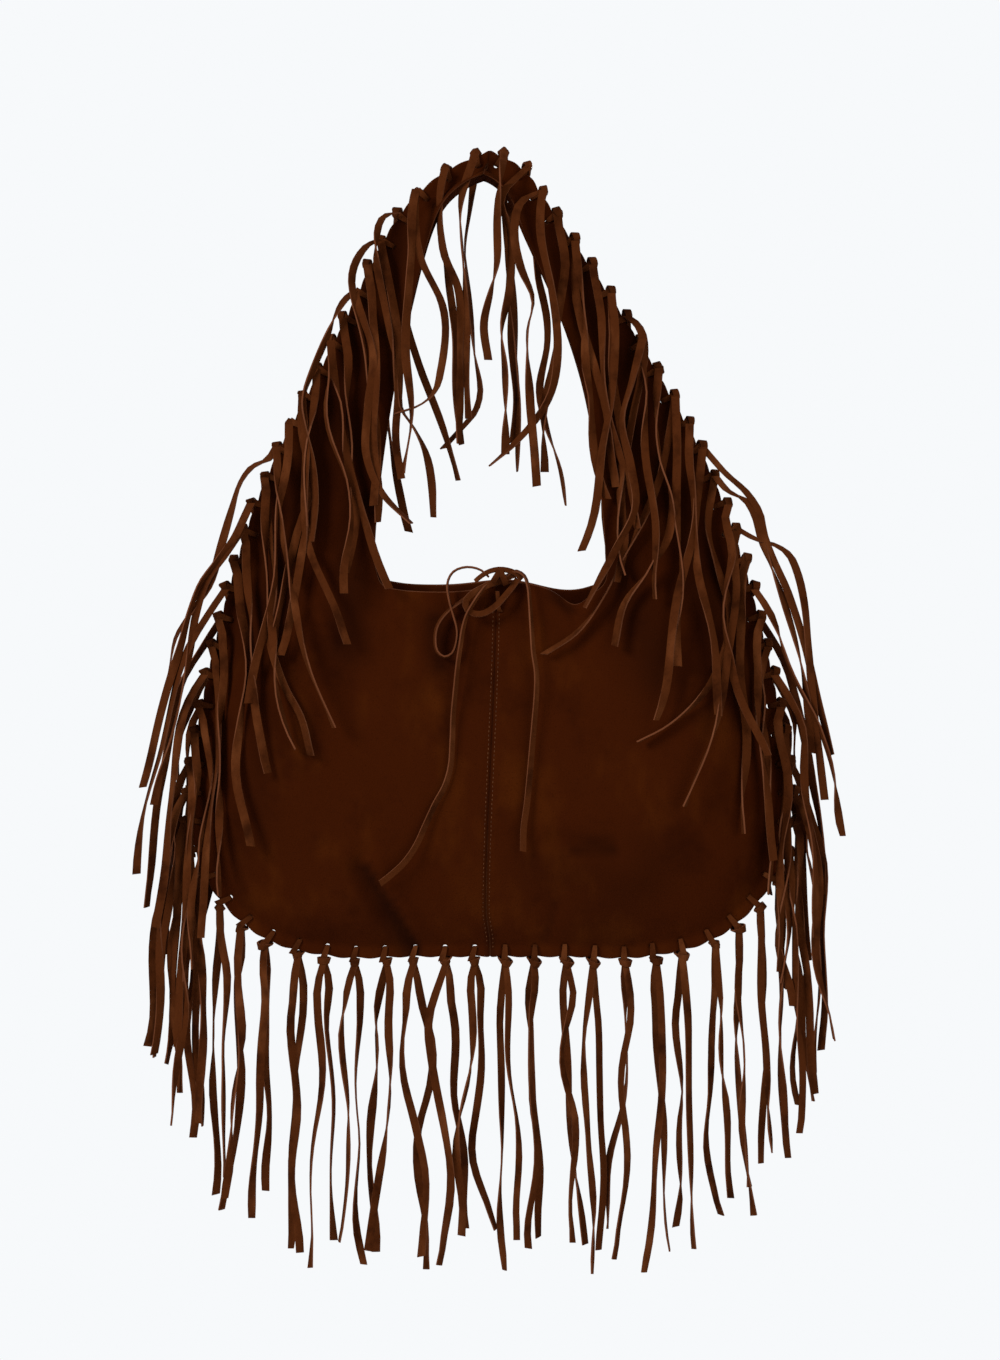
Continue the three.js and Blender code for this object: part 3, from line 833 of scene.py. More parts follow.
@dataclass
class SuedePanels:
    """The body and strap: a front and a back ply, each of two halves sewn at the centre."""

    shape: BagShape
    laces_per_half: int = 38
    flat_size: tuple[float, float] = (0.188, 0.505)
    flat_area: float = 0.057
    column_stops: tuple[float, ...] = (0.0, 0.22, 0.425, 0.575, 0.78)
    hole_column: int = 2
    hole_row: int = 2
    edge_rows: tuple[float, ...] = (0.0, 0.0026, 0.0052, 0.0075, 0.0120)
    belly_rows: int = 38
    edge_scallop: float = 0.0007
    free_start: float = 0.10
    wave_height: float = 0.0016
    wave_size: float = 0.075
    ripple_height: float = 0.00048
    ripple_size: tuple[float, float] = (0.028, 0.042)
    ripple_place: float = 5.0
    seam_sink: float = 0.0009
    seam_width: float = 0.0024
    seam_span: tuple[float, float] = (0.05, 0.10)
    seam_lap: float = 0.0006
    seam_lean: float = 0.004
    lean_width: float = 0.07
    lean_top: tuple[float, float] = (0.24, 0.26)
    lean_back: float = 1.6
    lean_back_span: tuple[float, float] = (0.26, 0.47)
    seam_shade: float = 0.5
    rim_span: tuple[float, float] = (0.245, 0.262)

    @property
    def columns(self) -> int:
        """Cells of a panel along its outer edge."""
        return self.laces_per_half * len(self.column_stops)

    @property
    def rows(self) -> int:
        """Cells of a panel from its edge to its rim."""
        return len(self.edge_rows) - 1 + self.belly_rows

    def inset(self, row: int, length: float) -> float:
        """How far in from the edge a row of the panel runs.

        Args:
            row: its number from the edge.
            length: how far in the open rim is.

        Returns:
            The distance.
        """
        edge_cells = len(self.edge_rows) - 1
        if row <= edge_cells:
            return self.edge_rows[row]
        share = (row - edge_cells) / self.belly_rows
        return self.shape.seam_allowance + (length - self.shape.seam_allowance) * share

    def dress(self, point: Vector, across: float, ply: Ply) -> Vector:
        """Adds creases, waves and the seam's lean to a point of the plain ply.

        Args:
            point: the point in place, with y as its distance from the plane of the edge.
            across: its share of the way from the flat edge to the open rim.
            ply: the layer of suede.

        Returns:
            The point in place, with its real y.
        """
        look = FACE_LOOKS[ply]
        down = -point.z
        free = smooth_step(0.0, self.free_start, across)
        wave = Vector((point.x / self.wave_size, look.wave_place, point.z / self.wave_size))
        wide_ripple, high_ripple = self.ripple_size
        ripple_place = look.wave_place + self.ripple_place
        ripple = Vector((point.x / wide_ripple, ripple_place, point.z / high_ripple))
        seam = math.exp(-((point.x / self.seam_width) ** 2)) * smooth_step(*self.seam_span, down)
        lift = sum(fold.at(point.x, point.z) for fold in look.folds)
        lift += self.wave_height * noise.noise(wave) + self.ripple_height * noise.noise(ripple)
        lift -= self.seam_sink * seam
        centre = math.exp(-((point.x / self.lean_width) ** 2)) * smooth_step(*self.lean_top, down)
        lean = self.seam_lean * (1 - self.lean_back * smooth_step(*self.lean_back_span, down))
        rim = across**5 * smooth_step(*self.rim_span, down)
        rise = rim * sum(bend.rise_at(point.x) for bend in look.rim_bends)
        y = max(self.shape.first_depth, point.y + lift * free)
        return Vector((point.x + lean * centre * free, ply.value * y, point.z + rise))

    def shade(self, point: Vector, ply: Ply) -> float:
        """How much painted shade a place of a face gets, from 0 to 1."""
        return max(fold.at(point.x, point.z) for fold in FACE_LOOKS[ply].painted_shades)

    def surface(self, column: int, row: int, ply: Ply, side: Side) -> Vector:
        """The middle of a dressed panel at one corner of its cells.

        Args:
            column: the corner's number along the edge, from the bottom.
            row: its number from the edge inwards.
            ply: the layer of suede.
            side: the half of the bag.

        Returns:
            The point, in place.
        """
        stop = column % len(self.column_stops)
        share = (column // len(self.column_stops) + self.column_stops[stop]) / self.laces_per_half
        length = self.shape.rung(share, ply)[3]
        inset = self.inset(row, length)
        point = self.shape.point(share, inset, ply)
        beat = math.cos(2 * math.pi * self.laces_per_half * share)
        if inset < self.edge_rows[2]:
            edge, allowance, _, _ = self.shape.rung(share, ply)
            fading = 1 - inset / self.edge_rows[2]
            out = (edge - allowance).normalized() * self.edge_scallop * beat * fading
            point.x += out.x
            point.z += out.y
        if column in (0, self.columns):
            point.x = -self.seam_lap
        across = max(0.0, (inset - self.shape.flat_edge) / (length - self.shape.flat_edge))
        return self.dress(self.shape.placed(point, side), across, ply)

    def build(self, ply: Ply, side: Side, finishes: Finishes) -> bpy.types.Object:
        """Makes one panel with its punched holes.

        Args:
            ply: the layer of suede.
            side: the half of the bag.
            finishes: the bag's materials.

        Returns:
            The panel.
        """
        mesh = bmesh.new()
        # A mask of painted shade: darkness laid on the panel's creases, its centre seam and where the tie
        # and laces cast shadow.
        layer = mesh.verts.layers.float.new("pressed")
        bmesh.ops.create_grid(mesh, x_segments=self.columns, y_segments=self.rows, size=1.0)
        corners = {}
        for vert in mesh.verts:
            column = round((vert.co.x + 1) / 2 * self.columns)
            row = round((vert.co.y + 1) / 2 * self.rows)
            corners[vert] = (column, row)
        punched = [face for face in mesh.faces if self._is_hole(face, corners)]
        for vert, (column, row) in corners.items():
            vert.co = self.surface(column, row, ply, side)
            # Painted shade: a dark line down the centre seam, and the face's own streaks of painted shade.
            sewn = self.seam_shade if column in (0, self.columns) else 0.0
            vert[layer] = max(sewn, self.shade(vert.co, ply))
        bmesh.ops.delete(mesh, geom=punched, context="FACES")
        self._face_outwards(mesh, ply)
        label = f"{ply.name.lower()}_{side.name.lower()}"
        panel = new_piece("suede_" + label, mesh, [finishes.suede, finishes.suede_edge])
        wall = panel.modifiers.new("thickness", "SOLIDIFY")
        wall.thickness = self.shape.ply_thickness
        wall.offset = 0.0
        wall.material_offset_rim = 1
        rounding = panel.modifiers.new("rounding", "SUBSURF")
        rounding.levels = 1
        rounding.render_levels = 1
        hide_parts(label.replace("_", "_panel_"))
        return panel

    def _is_hole(self, face: bmesh.types.BMFace, corners: dict) -> bool:
        """Whether a cell of the flat grid is where a hole is punched.

        Args:
            face: the cell.
            corners: the column and row of each of the grid's corners.

        Returns:
            True for a hole.
        """
        column = min(corners[vert][0] for vert in face.verts)
        row = min(corners[vert][1] for vert in face.verts)
        return column % len(self.column_stops) == self.hole_column and row == self.hole_row

    def _face_outwards(self, mesh: bmesh.types.BMesh, ply: Ply) -> None:
        """Turns every face of an open sheet towards the ply's own side.

        Args:
            mesh: the sheet.
            ply: the layer of suede.
        """
        mesh.normal_update()
        turned = [face for face in mesh.faces if face.normal.y * ply.value < 0]
        if len(turned) > len(mesh.faces) / 2:
            bmesh.ops.reverse_faces(mesh, faces=mesh.faces[:])

    def face_tree(self, ply: Ply) -> BVHTree:
        """The ply's outer surface, for laying the fringe and the seam stitches on it.

        Args:
            ply: the layer of suede.

        Returns:
            A tree of its faces, to cast rays at.
        """
        points, faces = [], []
        for side in Side:
            start = len(points)
            for column in range(0, self.columns + 1, 2):
                points.extend(self.surface(column, row, ply, side) for row in range(self.rows + 1))
            lines = self.columns // 2 + 1
            for line in range(lines - 1):
                for row in range(self.rows):
                    corner = start + line * (self.rows + 1) + row
                    faces.append((corner, corner + 1, corner + self.rows + 2, corner + self.rows + 1))
        return BVHTree.FromPolygons(points, faces)


@dataclass(frozen=True)
class Strip:
    """A flat strip of suede along a line."""

    width: float
    thickness: float
    cup: float = 0.0

    def add(
        self,
        mesh: bmesh.types.BMesh,
        line: list[Vector],
        wide: list[Vector],
        widths: list[float] | None = None,
        slant: float = 0.0,
    ) -> None:
        """Adds the strip to a mesh.

        Args:
            mesh: what it is added to.
            line: the points of its middle line.
            wide: the direction of its width at each point.
            widths: its width at each point as a share of its own, or None for an even strip.
            slant: how far its last cut leans, as a share of its width.
        """
        count = len(line) - 1
        made = bmesh.ops.create_grid(mesh, x_segments=2, y_segments=count, size=1.0)["verts"]
        for vert in made:
            across = round(vert.co.x)
            k = round((vert.co.y + 1) / 2 * count)
            along = (line[min(k + 1, count)] - line[max(k - 1, 0)]).normalized()
            out = along.cross(wide[k]).normalized()
            share = widths[k] if widths else 1.0
            place = line[k] + wide[k] * (across * share * self.width / 2)
            place += out * (self.cup * (1 - across * across))
            if k == count:
                place += along * (slant * across * self.width)
            vert.co = place
        faces = list({face for vert in made for face in vert.link_faces})
        bmesh.ops.recalc_face_normals(mesh, faces=faces)
        first = set(made)
        bmesh.ops.solidify(mesh, geom=faces, thickness=self.thickness)
        for face in {face for vert in first for face in vert.link_faces}:
            if any(vert not in first for vert in face.verts):
                face.material_index = 1
                for edge in face.edges:
                    edge.smooth = False


TailKey = tuple[int, Side, Ply]

# Tails with a course of their own: how far out and up from the knot they go on, in millimetres.
TAIL_COURSES: dict[TailKey, tuple[tuple[int, int], ...]] = {
    (25, Side.RIGHT, Ply.FRONT): (
        (13, -16), (26, -28), (34, -40), (37, -54), (42, -68), (50, -86), (57, -106), (64, -128),
        (70, -150), (76, -172), (80, -190),
    ),
    (24, Side.RIGHT, Ply.BACK): (
        (8, -10), (18, -15), (24, -25), (28, -41), (34, -57), (41, -75), (48, -97), (53, -119),
        (57, -145), (60, -171),
    ),
    (22, Side.RIGHT, Ply.FRONT): (
        (12, -7), (23, -10), (32, -16), (37, -28), (40, -45), (42, -71), (45, -101), (50, -136),
        (54, -167),
    ),
    (23, Side.LEFT, Ply.FRONT): (
        (9, -19), (21, -35), (32, -49), (39, -67), (44, -89), (51, -115), (59, -143), (67, -175),
    ),
    (22, Side.LEFT, Ply.BACK): (
        (10, -16), (21, -32), (28, -54), (32, -80), (39, -112), (48, -144), (54, -170),
    ),
    (25, Side.LEFT, Ply.FRONT): (
        (5, -8), (14, -12), (22, -22), (28, -40), (34, -60), (42, -86), (54, -104), (62, -118),
        (66, -140), (70, -160),
    ),
    (31, Side.LEFT, Ply.FRONT): (
        (5, -4), (12, -14), (19, -30), (27, -48), (33, -62), (35, -71), (34, -84), (30, -105),
        (28, -130), (30, -155),
    ),
    (33, Side.LEFT, Ply.BACK): (
        (8, -4), (16, -14), (20, -25), (20, -38), (18, -52), (16, -68), (14, -90), (10, -115),
        (9, -140), (11, -165),
    ),
    (34, Side.LEFT, Ply.FRONT): (
        (6, -1), (10, -6), (12, -16), (13, -32), (12, -50), (9, -80), (6, -110), (8, -140), (5, -165),
    ),
    (30, Side.RIGHT, Ply.FRONT): (
        (4, -3), (8, -10), (9, -22), (6, -40), (1, -60), (-4, -85), (-7, -110), (-5, -140), (-9, -165),
    ),
    (35, Side.LEFT, Ply.FRONT): (
        (-1, -11), (-4, -42), (-14, -69), (-15, -83), (-11, -110), (-7, -124), (1, -132), (18, -138),
    ),
    (35, Side.LEFT, Ply.BACK): (
        (2, -30), (6, -60), (10, -100), (8, -140), (14, -175),
    ),
    (36, Side.LEFT, Ply.BACK): (
        (0, -30), (-4, -60), (-6, -100), (-6, -140), (-8, -170),
    ),
    (37, Side.LEFT, Ply.FRONT): (
        (1, -33), (1, -64), (3, -119), (3, -165),
    ),
    (37, Side.RIGHT, Ply.BACK): (
        (5, -20), (9, -40), (10, -80), (7, -110), (9, -150), (6, -178),
    ),
    (36, Side.LEFT, Ply.FRONT): (
        (-1, -23), (-3, -54), (-10, -76), (-8, -118), (-7, -171),
    ),
    (37, Side.LEFT, Ply.BACK): (
        (-4, -33), (0, -61), (0, -119), (-3, -140), (-3, -148), (1, -159), (8, -167), (21, -181),
    ),
    (37, Side.RIGHT, Ply.FRONT): (
        (3, -25), (4, -43), (2, -68), (-4, -88), (-10, -109), (-9, -130),
    ),
    (36, Side.RIGHT, Ply.FRONT): (
        (-8, -11), (-12, -23), (-6, -39), (-8, -75), (-14, -101), (-13, -126), (-15, -178),
    ),
    (36, Side.RIGHT, Ply.BACK): (
        (-5, -20), (-6, -39), (-7, -92), (-8, -118), (-7, -144), (-9, -186),
    ),
    (35, Side.RIGHT, Ply.FRONT): (
        (-12, -7), (-16, -24), (-14, -49), (-9, -68), (-14, -88), (-14, -130), (-12, -183),
    ),
    (35, Side.RIGHT, Ply.BACK): (
        (0, -30), (3, -62), (4, -95), (0, -122), (-8, -138), (-24, -156), (-40, -170),
    ),
    (34, Side.RIGHT, Ply.BACK): (
        (-12, -10), (-14, -34), (-11, -62), (-12, -79), (-18, -107), (-15, -127), (-6, -157),
        (-3, -180),
    ),
    (31, Side.LEFT, Ply.BACK): (
        (-4, -20), (-8, -40), (-4, -74), (-3, -100), (-12, -122), (-32, -143),
    ),
    (33, Side.LEFT, Ply.FRONT): (
        (-3, -30), (-5, -60), (-6, -88), (-7, -105), (-14, -116), (-21, -131), (-24, -148), (-25, -172),
    ),
    (27, Side.RIGHT, Ply.FRONT): (
        (-4, -24), (-10, -50), (-20, -74), (-33, -100), (-45, -124), (-62, -146), (-82, -160),
    ),
    (29, Side.RIGHT, Ply.BACK): (
        (-8, -26), (-14, -50), (-8, -80), (-6, -104), (-18, -128), (-30, -150), (-38, -166),
    ),
    (28, Side.RIGHT, Ply.FRONT): (
        (-3, -28), (0, -56), (6, -80), (4, -104), (-8, -126), (-22, -146), (-28, -172),
    ),
    (24, Side.RIGHT, Ply.FRONT): (
        (-4, -30), (2, -60), (8, -88), (2, -114), (-10, -136), (-30, -154), (-48, -164),
    ),
    (26, Side.LEFT, Ply.BACK): (
        (-4, -34), (-2, -66), (-8, -96), (-20, -124), (-34, -146), (-42, -172),
    ),
    (24, Side.LEFT, Ply.FRONT): (
        (-3, -36), (-8, -70), (-4, -98), (-12, -128), (-24, -150), (-30, -172),
    ),
}


@dataclass(frozen=True)
class KnotLook:
    """The knots: where they sit, how round they are and how the lace goes round them."""

    reach: float = 0.0030
    strap_reach: float = 0.0016
    shift_out: float = 0.00064
    shift_along: float = 0.0016
    half: Place = (0.0030, 0.0030, 0.0031)
    lump: float = 0.10
    lump_rate: float = 1.6
    strap_size: float = 1.12
    strap_size_spread: float = 0.08
    wrap_steps: int = 14
    wrap_turns: float = 1.15
    wrap_radius: float = 0.0031
    wrap_taper: float = 0.0014
    wrap_depth: float = 1.1
    wrap_width: float = 0.70
    wrap_lean: float = 0.5
    wrap_lean_spread: float = 0.35
    wrap_phase: float = 0.8


@dataclass(frozen=True)
class TailCut:
    """How long and wide the tails are cut, and in how many parts they are made."""

    length: float = 0.184
    length_spread: float = 0.09
    side_tail_trim: float = 0.0154
    steps: int = 20
    arched_steps: int = 34
    cup: float = 0.0002
    slant: float = 0.12
    body_root_width: float = 0.78
    body_tail_width: float = 0.90
    body_side_width: float = 0.06
    strap_root_width: float = 0.94
    strap_tail_width: float = 0.95
    root_span: tuple[float, float] = (0.0, 0.10)
    width_spread: float = 0.06
    width_wave: float = 0.05
    width_wave_rate: float = 9.0
    width_seed: float = 3.7


@dataclass(frozen=True)
class TailSwing:
    """How the tails swing, drift and turn on their way down."""

    swing: float = 0.0056
    bottom_swing: float = 0.0030
    swing_share: tuple[float, float] = (0.7, 0.3)
    inner_swing: float = 1.3
    swing_span: tuple[float, float] = (0.0, 0.25)
    swing_rate: float = 2.7
    course_swing: float = 0.2
    drift: float = 0.0110
    bottom_drift: float = 0.0020
    second_drift: float = 0.008
    inner_drift: float = 0.030
    inner_lean: float = 0.004
    second_inner_lean: float = 0.014
    beside: float = 0.0027
    beside_by_side: float = 0.0009
    beside_span: tuple[float, float] = (0.0, 0.08)
    first_turn: float = 0.3
    turning: float = 1.9
    turning_by_side: float = 0.2
    turn_rate: float = 2.1
    turn_seed: int = 5
    seed_step: float = 0.21


@dataclass(frozen=True)
class TailDepth:
    """How far the tails hang out from the plane of the edge and from the faces."""

    root: float = 0.0022
    lower: float = 0.0055
    upper: float = 0.0086
    layers: int = 3
    layer_step: float = 0.0022
    bottom_flatness: float = 0.5
    second_layers: float = 1.2
    face_gap: float = 0.0030
    feelers: tuple[float, float] = (0.004, 0.014)
    feeler_reach: float = 0.2
    rise_span: tuple[float, float] = (0.0, 0.09)
    sway: float = 0.0018
    sway_rate: float = 2.2
    sway_seed: int = 3


@dataclass(frozen=True)
class TailHang:
    """How one tail hangs from its knot: its measures before its line is walked."""

    ply: Ply
    length: float
    shift: float
    swing: float
    drift: float
    beside: float
    layer: float
    least_depth: float
    first_turn: float
    turning: float
    seed: float


@dataclass
class Fringe:
    """The laces along the outer edge: each a ring through its hole, a knot and two tails."""

    shape: BagShape
    panels: SuedePanels
    first_strap_lace: int = 14
    lace_width: float = 0.0053
    lace_thickness: float = 0.0010
    lace_gap: float = 0.0012
    hole_inset: float = 0.0062
    corner_slant: float = 0.0022
    ring_lean: float = 0.0008
    ring_tuck: float = 0.0005
    ring_thinning: float = 0.9
    laces_past_widest: int = 2
    upper_fan_laces: int = 6
    corner_span: tuple[float, float] = (0.096, 0.160)
    bottom_enough: float = 0.3
    fan_slope: float = 0.69
    straight_shift: float = -0.003
    straight_laces: dict[Ply, tuple[int, ...]] = field(
        default_factory=lambda: {Ply.FRONT: (14, 16, 18, 19, 21), Ply.BACK: (15, 18, 20)}
    )
    front_only_laces: tuple[int, ...] = (22, 24, 25, 27, 29, 31, 33, 35)
    knot_drop: float = 0.001
    fall_share: float = 0.97
    least_shift: float = 1e-6
    knots: KnotLook = KnotLook()
    cut: TailCut = TailCut()
    swings: TailSwing = TailSwing()
    depths: TailDepth = TailDepth()
    faces: dict[Ply, BVHTree] = field(init=False)
    seats: list[tuple[Vector, Vector, Vector]] = field(init=False)
    lanes: list[float] = field(init=False)
    last_lower_fan: int = field(init=False)
    last_fan: int = field(init=False)

    def __post_init__(self) -> None:
        """Finds where every lace sits and the line in which it hangs."""
        self.faces = {ply: self.panels.face_tree(ply) for ply in Ply}
        self.seats = [self._seat(lace) for lace in range(self.panels.laces_per_half)]
        knots = [seat[2].x for seat in self.seats]
        self.last_lower_fan = knots.index(max(knots)) + self.laces_past_widest
        self.last_fan = self.last_lower_fan + self.upper_fan_laces
        self.lanes = self._lanes(knots)

    def _seat(self, lace: int) -> tuple[Vector, Vector, Vector]:
        """The hole, the outward direction and the knot of a lace of the right half.

        Args:
            lace: the lace's number from the middle of the bottom.

        Returns:
            The three of them, in the plane of the edge.
        """
        share = (lace + 0.5) / self.panels.laces_per_half
        edge, allowance, _, _ = self.shape.rung(share, Ply.BACK)
        inward = (allowance - edge).normalized()
        hole = edge + inward * self.hole_inset
        along = Vector((-inward.y, inward.x))
        reach = self.knots.reach if lace < self.first_strap_lace else self.knots.strap_reach
        reach += self.knots.shift_out * vary(lace, Salt.KNOT_OUT)
        knot = edge - inward * reach + along * (self.knots.shift_along * vary(lace, Salt.KNOT_ALONG))
        flat = [Vector((p.x, 0.0, p.y)) for p in (hole, -inward, knot)]
        return flat[0], flat[1], flat[2]

    def _lanes(self, knots: list[float]) -> list[float]:
        """The upright line in which each lace hangs: two layers fan out, upper ones lie over the face.

        Args:
            knots: the x of every knot, from the bottom to the crown.

        Returns:
            The x in which each lace comes to hang.
        """
        spacing = self.lace_width + self.lace_gap
        lanes: list[float] = []
        for lace, knot in enumerate(knots):
            if lace in (0, self.last_lower_fan + 1):
                lanes.append(knot)
            elif lace <= self.last_fan:
                lanes.append(max(knot, lanes[lace - 1] + spacing))
            elif lace == self.last_fan + 1:
                lanes.append(min(knot, knots[lace - 1] - spacing))
            else:
                lanes.append(min(knot, lanes[lace - 1] - spacing))
        return lanes

    def face_depth(self, x: float, z: float, ply: Ply) -> float:
        """How far a ply's outer face stands out at a place, or 0 beyond its edges.

        Args:
            x: the place's x.
            z: its height.
            ply: the layer of suede.

        Returns:
            The distance from the plane of the edge.
        """
        start = Vector((x, ply.value * self.depths.feeler_reach, z))
        inward = Vector((0.0, -ply.value, 0.0))
        found = self.faces[ply].ray_cast(start, inward, 2 * self.depths.feeler_reach)[0]
        return 0.0 if found is None else ply.value * found.y + self.shape.ply_thickness / 2

    def hang(self, lace: int, side: Side, ply: Ply) -> TailHang:
        """How a tail hangs.

        Args:
            lace: the lace's number from the middle of the bottom.
            side: the half of the bag.
            ply: which of the lace's two tails it is.

        Returns:
            Its measures.
        """
        knot = self.seats[lace][2]
        swings, depths = self.swings, self.depths
        salt = Salt.TAIL + side.value + 3 * ply.value
        second = ply is Ply.BACK and lace in self.front_only_laces
        shown = Ply.FRONT if second else ply
        lower = lace <= self.last_lower_fan
        bottom = 1 - smooth_step(*self.corner_span, knot.x) if lower else 0.0
        length = self.cut.length * (1 + self.cut.length_spread * vary(lace, salt))
        shift = self.straight_shift if lace in self.straight_laces[shown] else self.lanes[lace] - knot.x
        least_swing, free_swing = swings.swing_share
        swing = swings.swing + swings.bottom_swing * bottom
        swing *= least_swing + free_swing * vary(lace, salt + Salt.SWING)
        if lace > self.last_fan:
            swing *= swings.inner_swing
            drift = swings.inner_drift * vary(lace, salt + Salt.DRIFT)
            drift -= swings.second_inner_lean if second else swings.inner_lean
        else:
            drift = (swings.drift + swings.bottom_drift * bottom) * vary(lace, salt + Salt.DRIFT)
            drift = abs(drift) if bottom < self.bottom_enough else drift
            drift += swings.second_drift if second else 0.0
        beside = (swings.beside - swings.beside_by_side * side.value) * bottom * shown.value
        layer = depths.layer_step * (lace % depths.layers + depths.second_layers * second)
        layer *= 1 - depths.bottom_flatness * bottom
        return TailHang(
            ply=shown,
            length=length - self.cut.side_tail_trim * (1 - bottom),
            shift=shift,
            swing=swing,
            drift=drift,
            beside=beside * math.copysign(1.0, vary(lace, Salt.BESIDE)),
            layer=layer,
            least_depth=(depths.lower if lower else depths.upper) + layer,
            first_turn=swings.first_turn * vary(lace, salt + Salt.FIRST_TURN),
            turning=swings.turning + swings.turning_by_side * side.value * bottom,
            seed=lace + swings.seed_step * salt,
        )

    def fall(self, hang: TailHang, share: float) -> Vector:
        """How far out and up from its knot a tail without a course of its own is at a share of it.

        Args:
            hang: how the tail hangs.
            share: the place along the tail.

        Returns:
            The distances, out first.
        """
        down = share * hang.length
        reach = abs(hang.shift) + self.least_shift
        slide = math.copysign(reach * (1 - math.exp(-self.fan_slope * down / reach)), hang.shift)
        beside = hang.beside * smooth_step(*self.swings.beside_span, share)
        return Vector((slide + hang.drift * share**2 + beside, -self.knot_drop - down * self.fall_share))

    def tail_line(self, lace: int, side: Side, ply: Ply) -> tuple[list[Vector], list[Vector]]:
        """The middle line of a tail, in place, and the direction of its width.

        Args:
            lace: the lace's number from the middle of the bottom.
            side: the half of the bag.
            ply: which of the lace's two tails it is.

        Returns:
            The points and, for each, the direction of the width.
        """
        knot = self.seats[lace][2]
        swings, depths = self.swings, self.depths
        hang = self.hang(lace, side, ply)
        given = TAIL_COURSES.get((lace, side, ply))
        course = SmoothCurve([(0, 0), *((out * MM, up * MM) for out, up in given)]) if given else None
        steps = self.tail_steps_on(lace, side, ply)
        points: list[Vector] = []
        wide: list[Vector] = []
        depth = depths.root
        for k in range(steps + 1):
            share = k / steps
            ramp = smooth_step(*swings.swing_span, share)
            swing = hang.swing * ramp * wander(hang.seed, swings.swing_rate * share)
            place = course.at(share) if course else self.fall(hang, share)
            x = knot.x + place.x + (swings.course_swing if course else 1.0) * swing
            z = knot.z + place.y
            face = max(self.face_depth(side.value * x, z - below, hang.ply) for below in depths.feelers)
            needed = face + depths.face_gap + hang.layer if face else 0.0
            rise = smooth_step(*depths.rise_span, share)
            depth = max(depth, hang.least_depth * rise + depth * (1 - rise), needed)
            sway = abs(wander(hang.seed + depths.sway_seed, depths.sway_rate * share))
            point = Vector((x, hang.ply.value * (depth + depths.sway * ramp * sway), z))
            points.append(self.shape.placed(point, side))
            turn = wander(hang.seed + swings.turn_seed, swings.turn_rate * share)
            angle = hang.first_turn + hang.turning * ramp * turn
            wide.append(Vector((math.cos(angle), math.sin(angle), 0.0)))
        return points, wide

    def tail_steps_on(self, lace: int, side: Side, ply: Ply) -> int:
        """How many parts a tail is made in: more where it arches."""
        return self.cut.arched_steps if (lace, side, ply) in TAIL_COURSES else self.cut.steps

    def tail_widths(self, lace: int, side: Side, ply: Ply) -> list[float]:
        """The width of a tail at each of its points, as a share of the lace's.

        Args:
            lace: the lace's number from the middle of the bottom.
            side: the half of the bag.
            ply: which of the lace's two tails it is.

        Returns:
            A share for each point.
        """
        salt = Salt.WIDTH + ply.value + 2 * side.value
        steps = self.tail_steps_on(lace, side, ply)
        root = self.cut.body_root_width if lace < self.first_strap_lace else self.cut.strap_root_width
        full = self.cut.strap_tail_width
        if lace < self.first_strap_lace - 2:
            full = self.cut.body_tail_width - self.cut.body_side_width * side.value
        own = 1 + self.cut.width_spread * vary(lace, salt)
        widths = []
        for k in range(steps + 1):
            share = k / steps
            even = root + (full - root) * smooth_step(*self.cut.root_span, share)
            wave = noise.noise(Vector((lace * self.cut.width_seed, salt, self.cut.width_wave_rate * share)))
            widths.append(even * own * (1 + self.cut.width_wave * wave))
        return widths

    def knot_wrap(self, lace: int, side: Side) -> tuple[list[Vector], list[Vector]]:
        """The turn of the lace round its own two tails, as a loose spiral.

        Args:
            lace: the lace's number from the middle of the bottom.
            side: the half of the bag.

        Returns:
            The points of the wrap's middle line and, for each, the direction of its width.
        """
        _, out, knot = self.seats[lace]
        along = Vector((-out.z, 0.0, out.x))
        lean = self.knots.wrap_lean + self.knots.wrap_lean_spread * vary(lace, Salt.WRAP_LEAN + side.value)
        start = math.pi * vary(lace, Salt.WRAP_START + side.value)
        size = self.knot_size(lace)
        points, wide = [], []
        for k in range(self.knots.wrap_steps + 1):
            share = k / self.knots.wrap_steps
            angle = start + 2 * math.pi * self.knots.wrap_turns * share
            radius = size * (self.knots.wrap_radius - self.knots.wrap_taper * abs(2 * share - 1) ** 5)
            point = knot + along * (radius * math.cos(angle))
            point = point + Vector((0.0, radius * self.knots.wrap_depth * math.sin(angle), 0.0))
            point = point + out * (lean * radius * math.cos(angle + self.knots.wrap_phase))
            points.append(self.shape.placed(point, side))
            width = out - along * (lean * math.cos(angle))
            width.x *= side.value
            wide.append(width.normalized())
        return points, wide

    def knot_size(self, lace: int) -> float:
        """A knot's size as a share of the usual one: those on the strap are pulled less tight.

        Args:
            lace: the lace's number from the middle of the bottom.

        Returns:
            The share.
        """
        if lace < self.first_strap_lace:
            return 1.0
        return self.knots.strap_size + self.knots.strap_size_spread * vary(lace, Salt.KNOT_SIZE)

    def add_knot_core(self, mesh: bmesh.types.BMesh, lace: int, side: Side) -> None:
        """Adds the round body of a knot, inside its wrap.

        Args:
            mesh: what it is added to.
            lace: the lace's number from the middle of the bottom.
            side: the half of the bag.
        """
        _, out, knot = self.seats[lace]
        along = Vector((-out.z, 0.0, out.x))
        half = Vector(self.knots.half) * self.knot_size(lace)
        own = Vector((lace, side.value, 0.0))
        made = bmesh.ops.create_icosphere(mesh, subdivisions=2, radius=1.0)["verts"]
        for vert in made:
            lump = 1 + self.knots.lump * noise.noise(vert.co * self.knots.lump_rate + own)
            spot = along * (vert.co.x * half.x) + out * (vert.co.z * half.z)
            spot.y += vert.co.y * half.y
            vert.co = self.shape.placed(knot + spot * lump, side)
        if side is Side.LEFT:
            bmesh.ops.reverse_faces(mesh, faces=list({face for vert in made for face in vert.link_faces}))

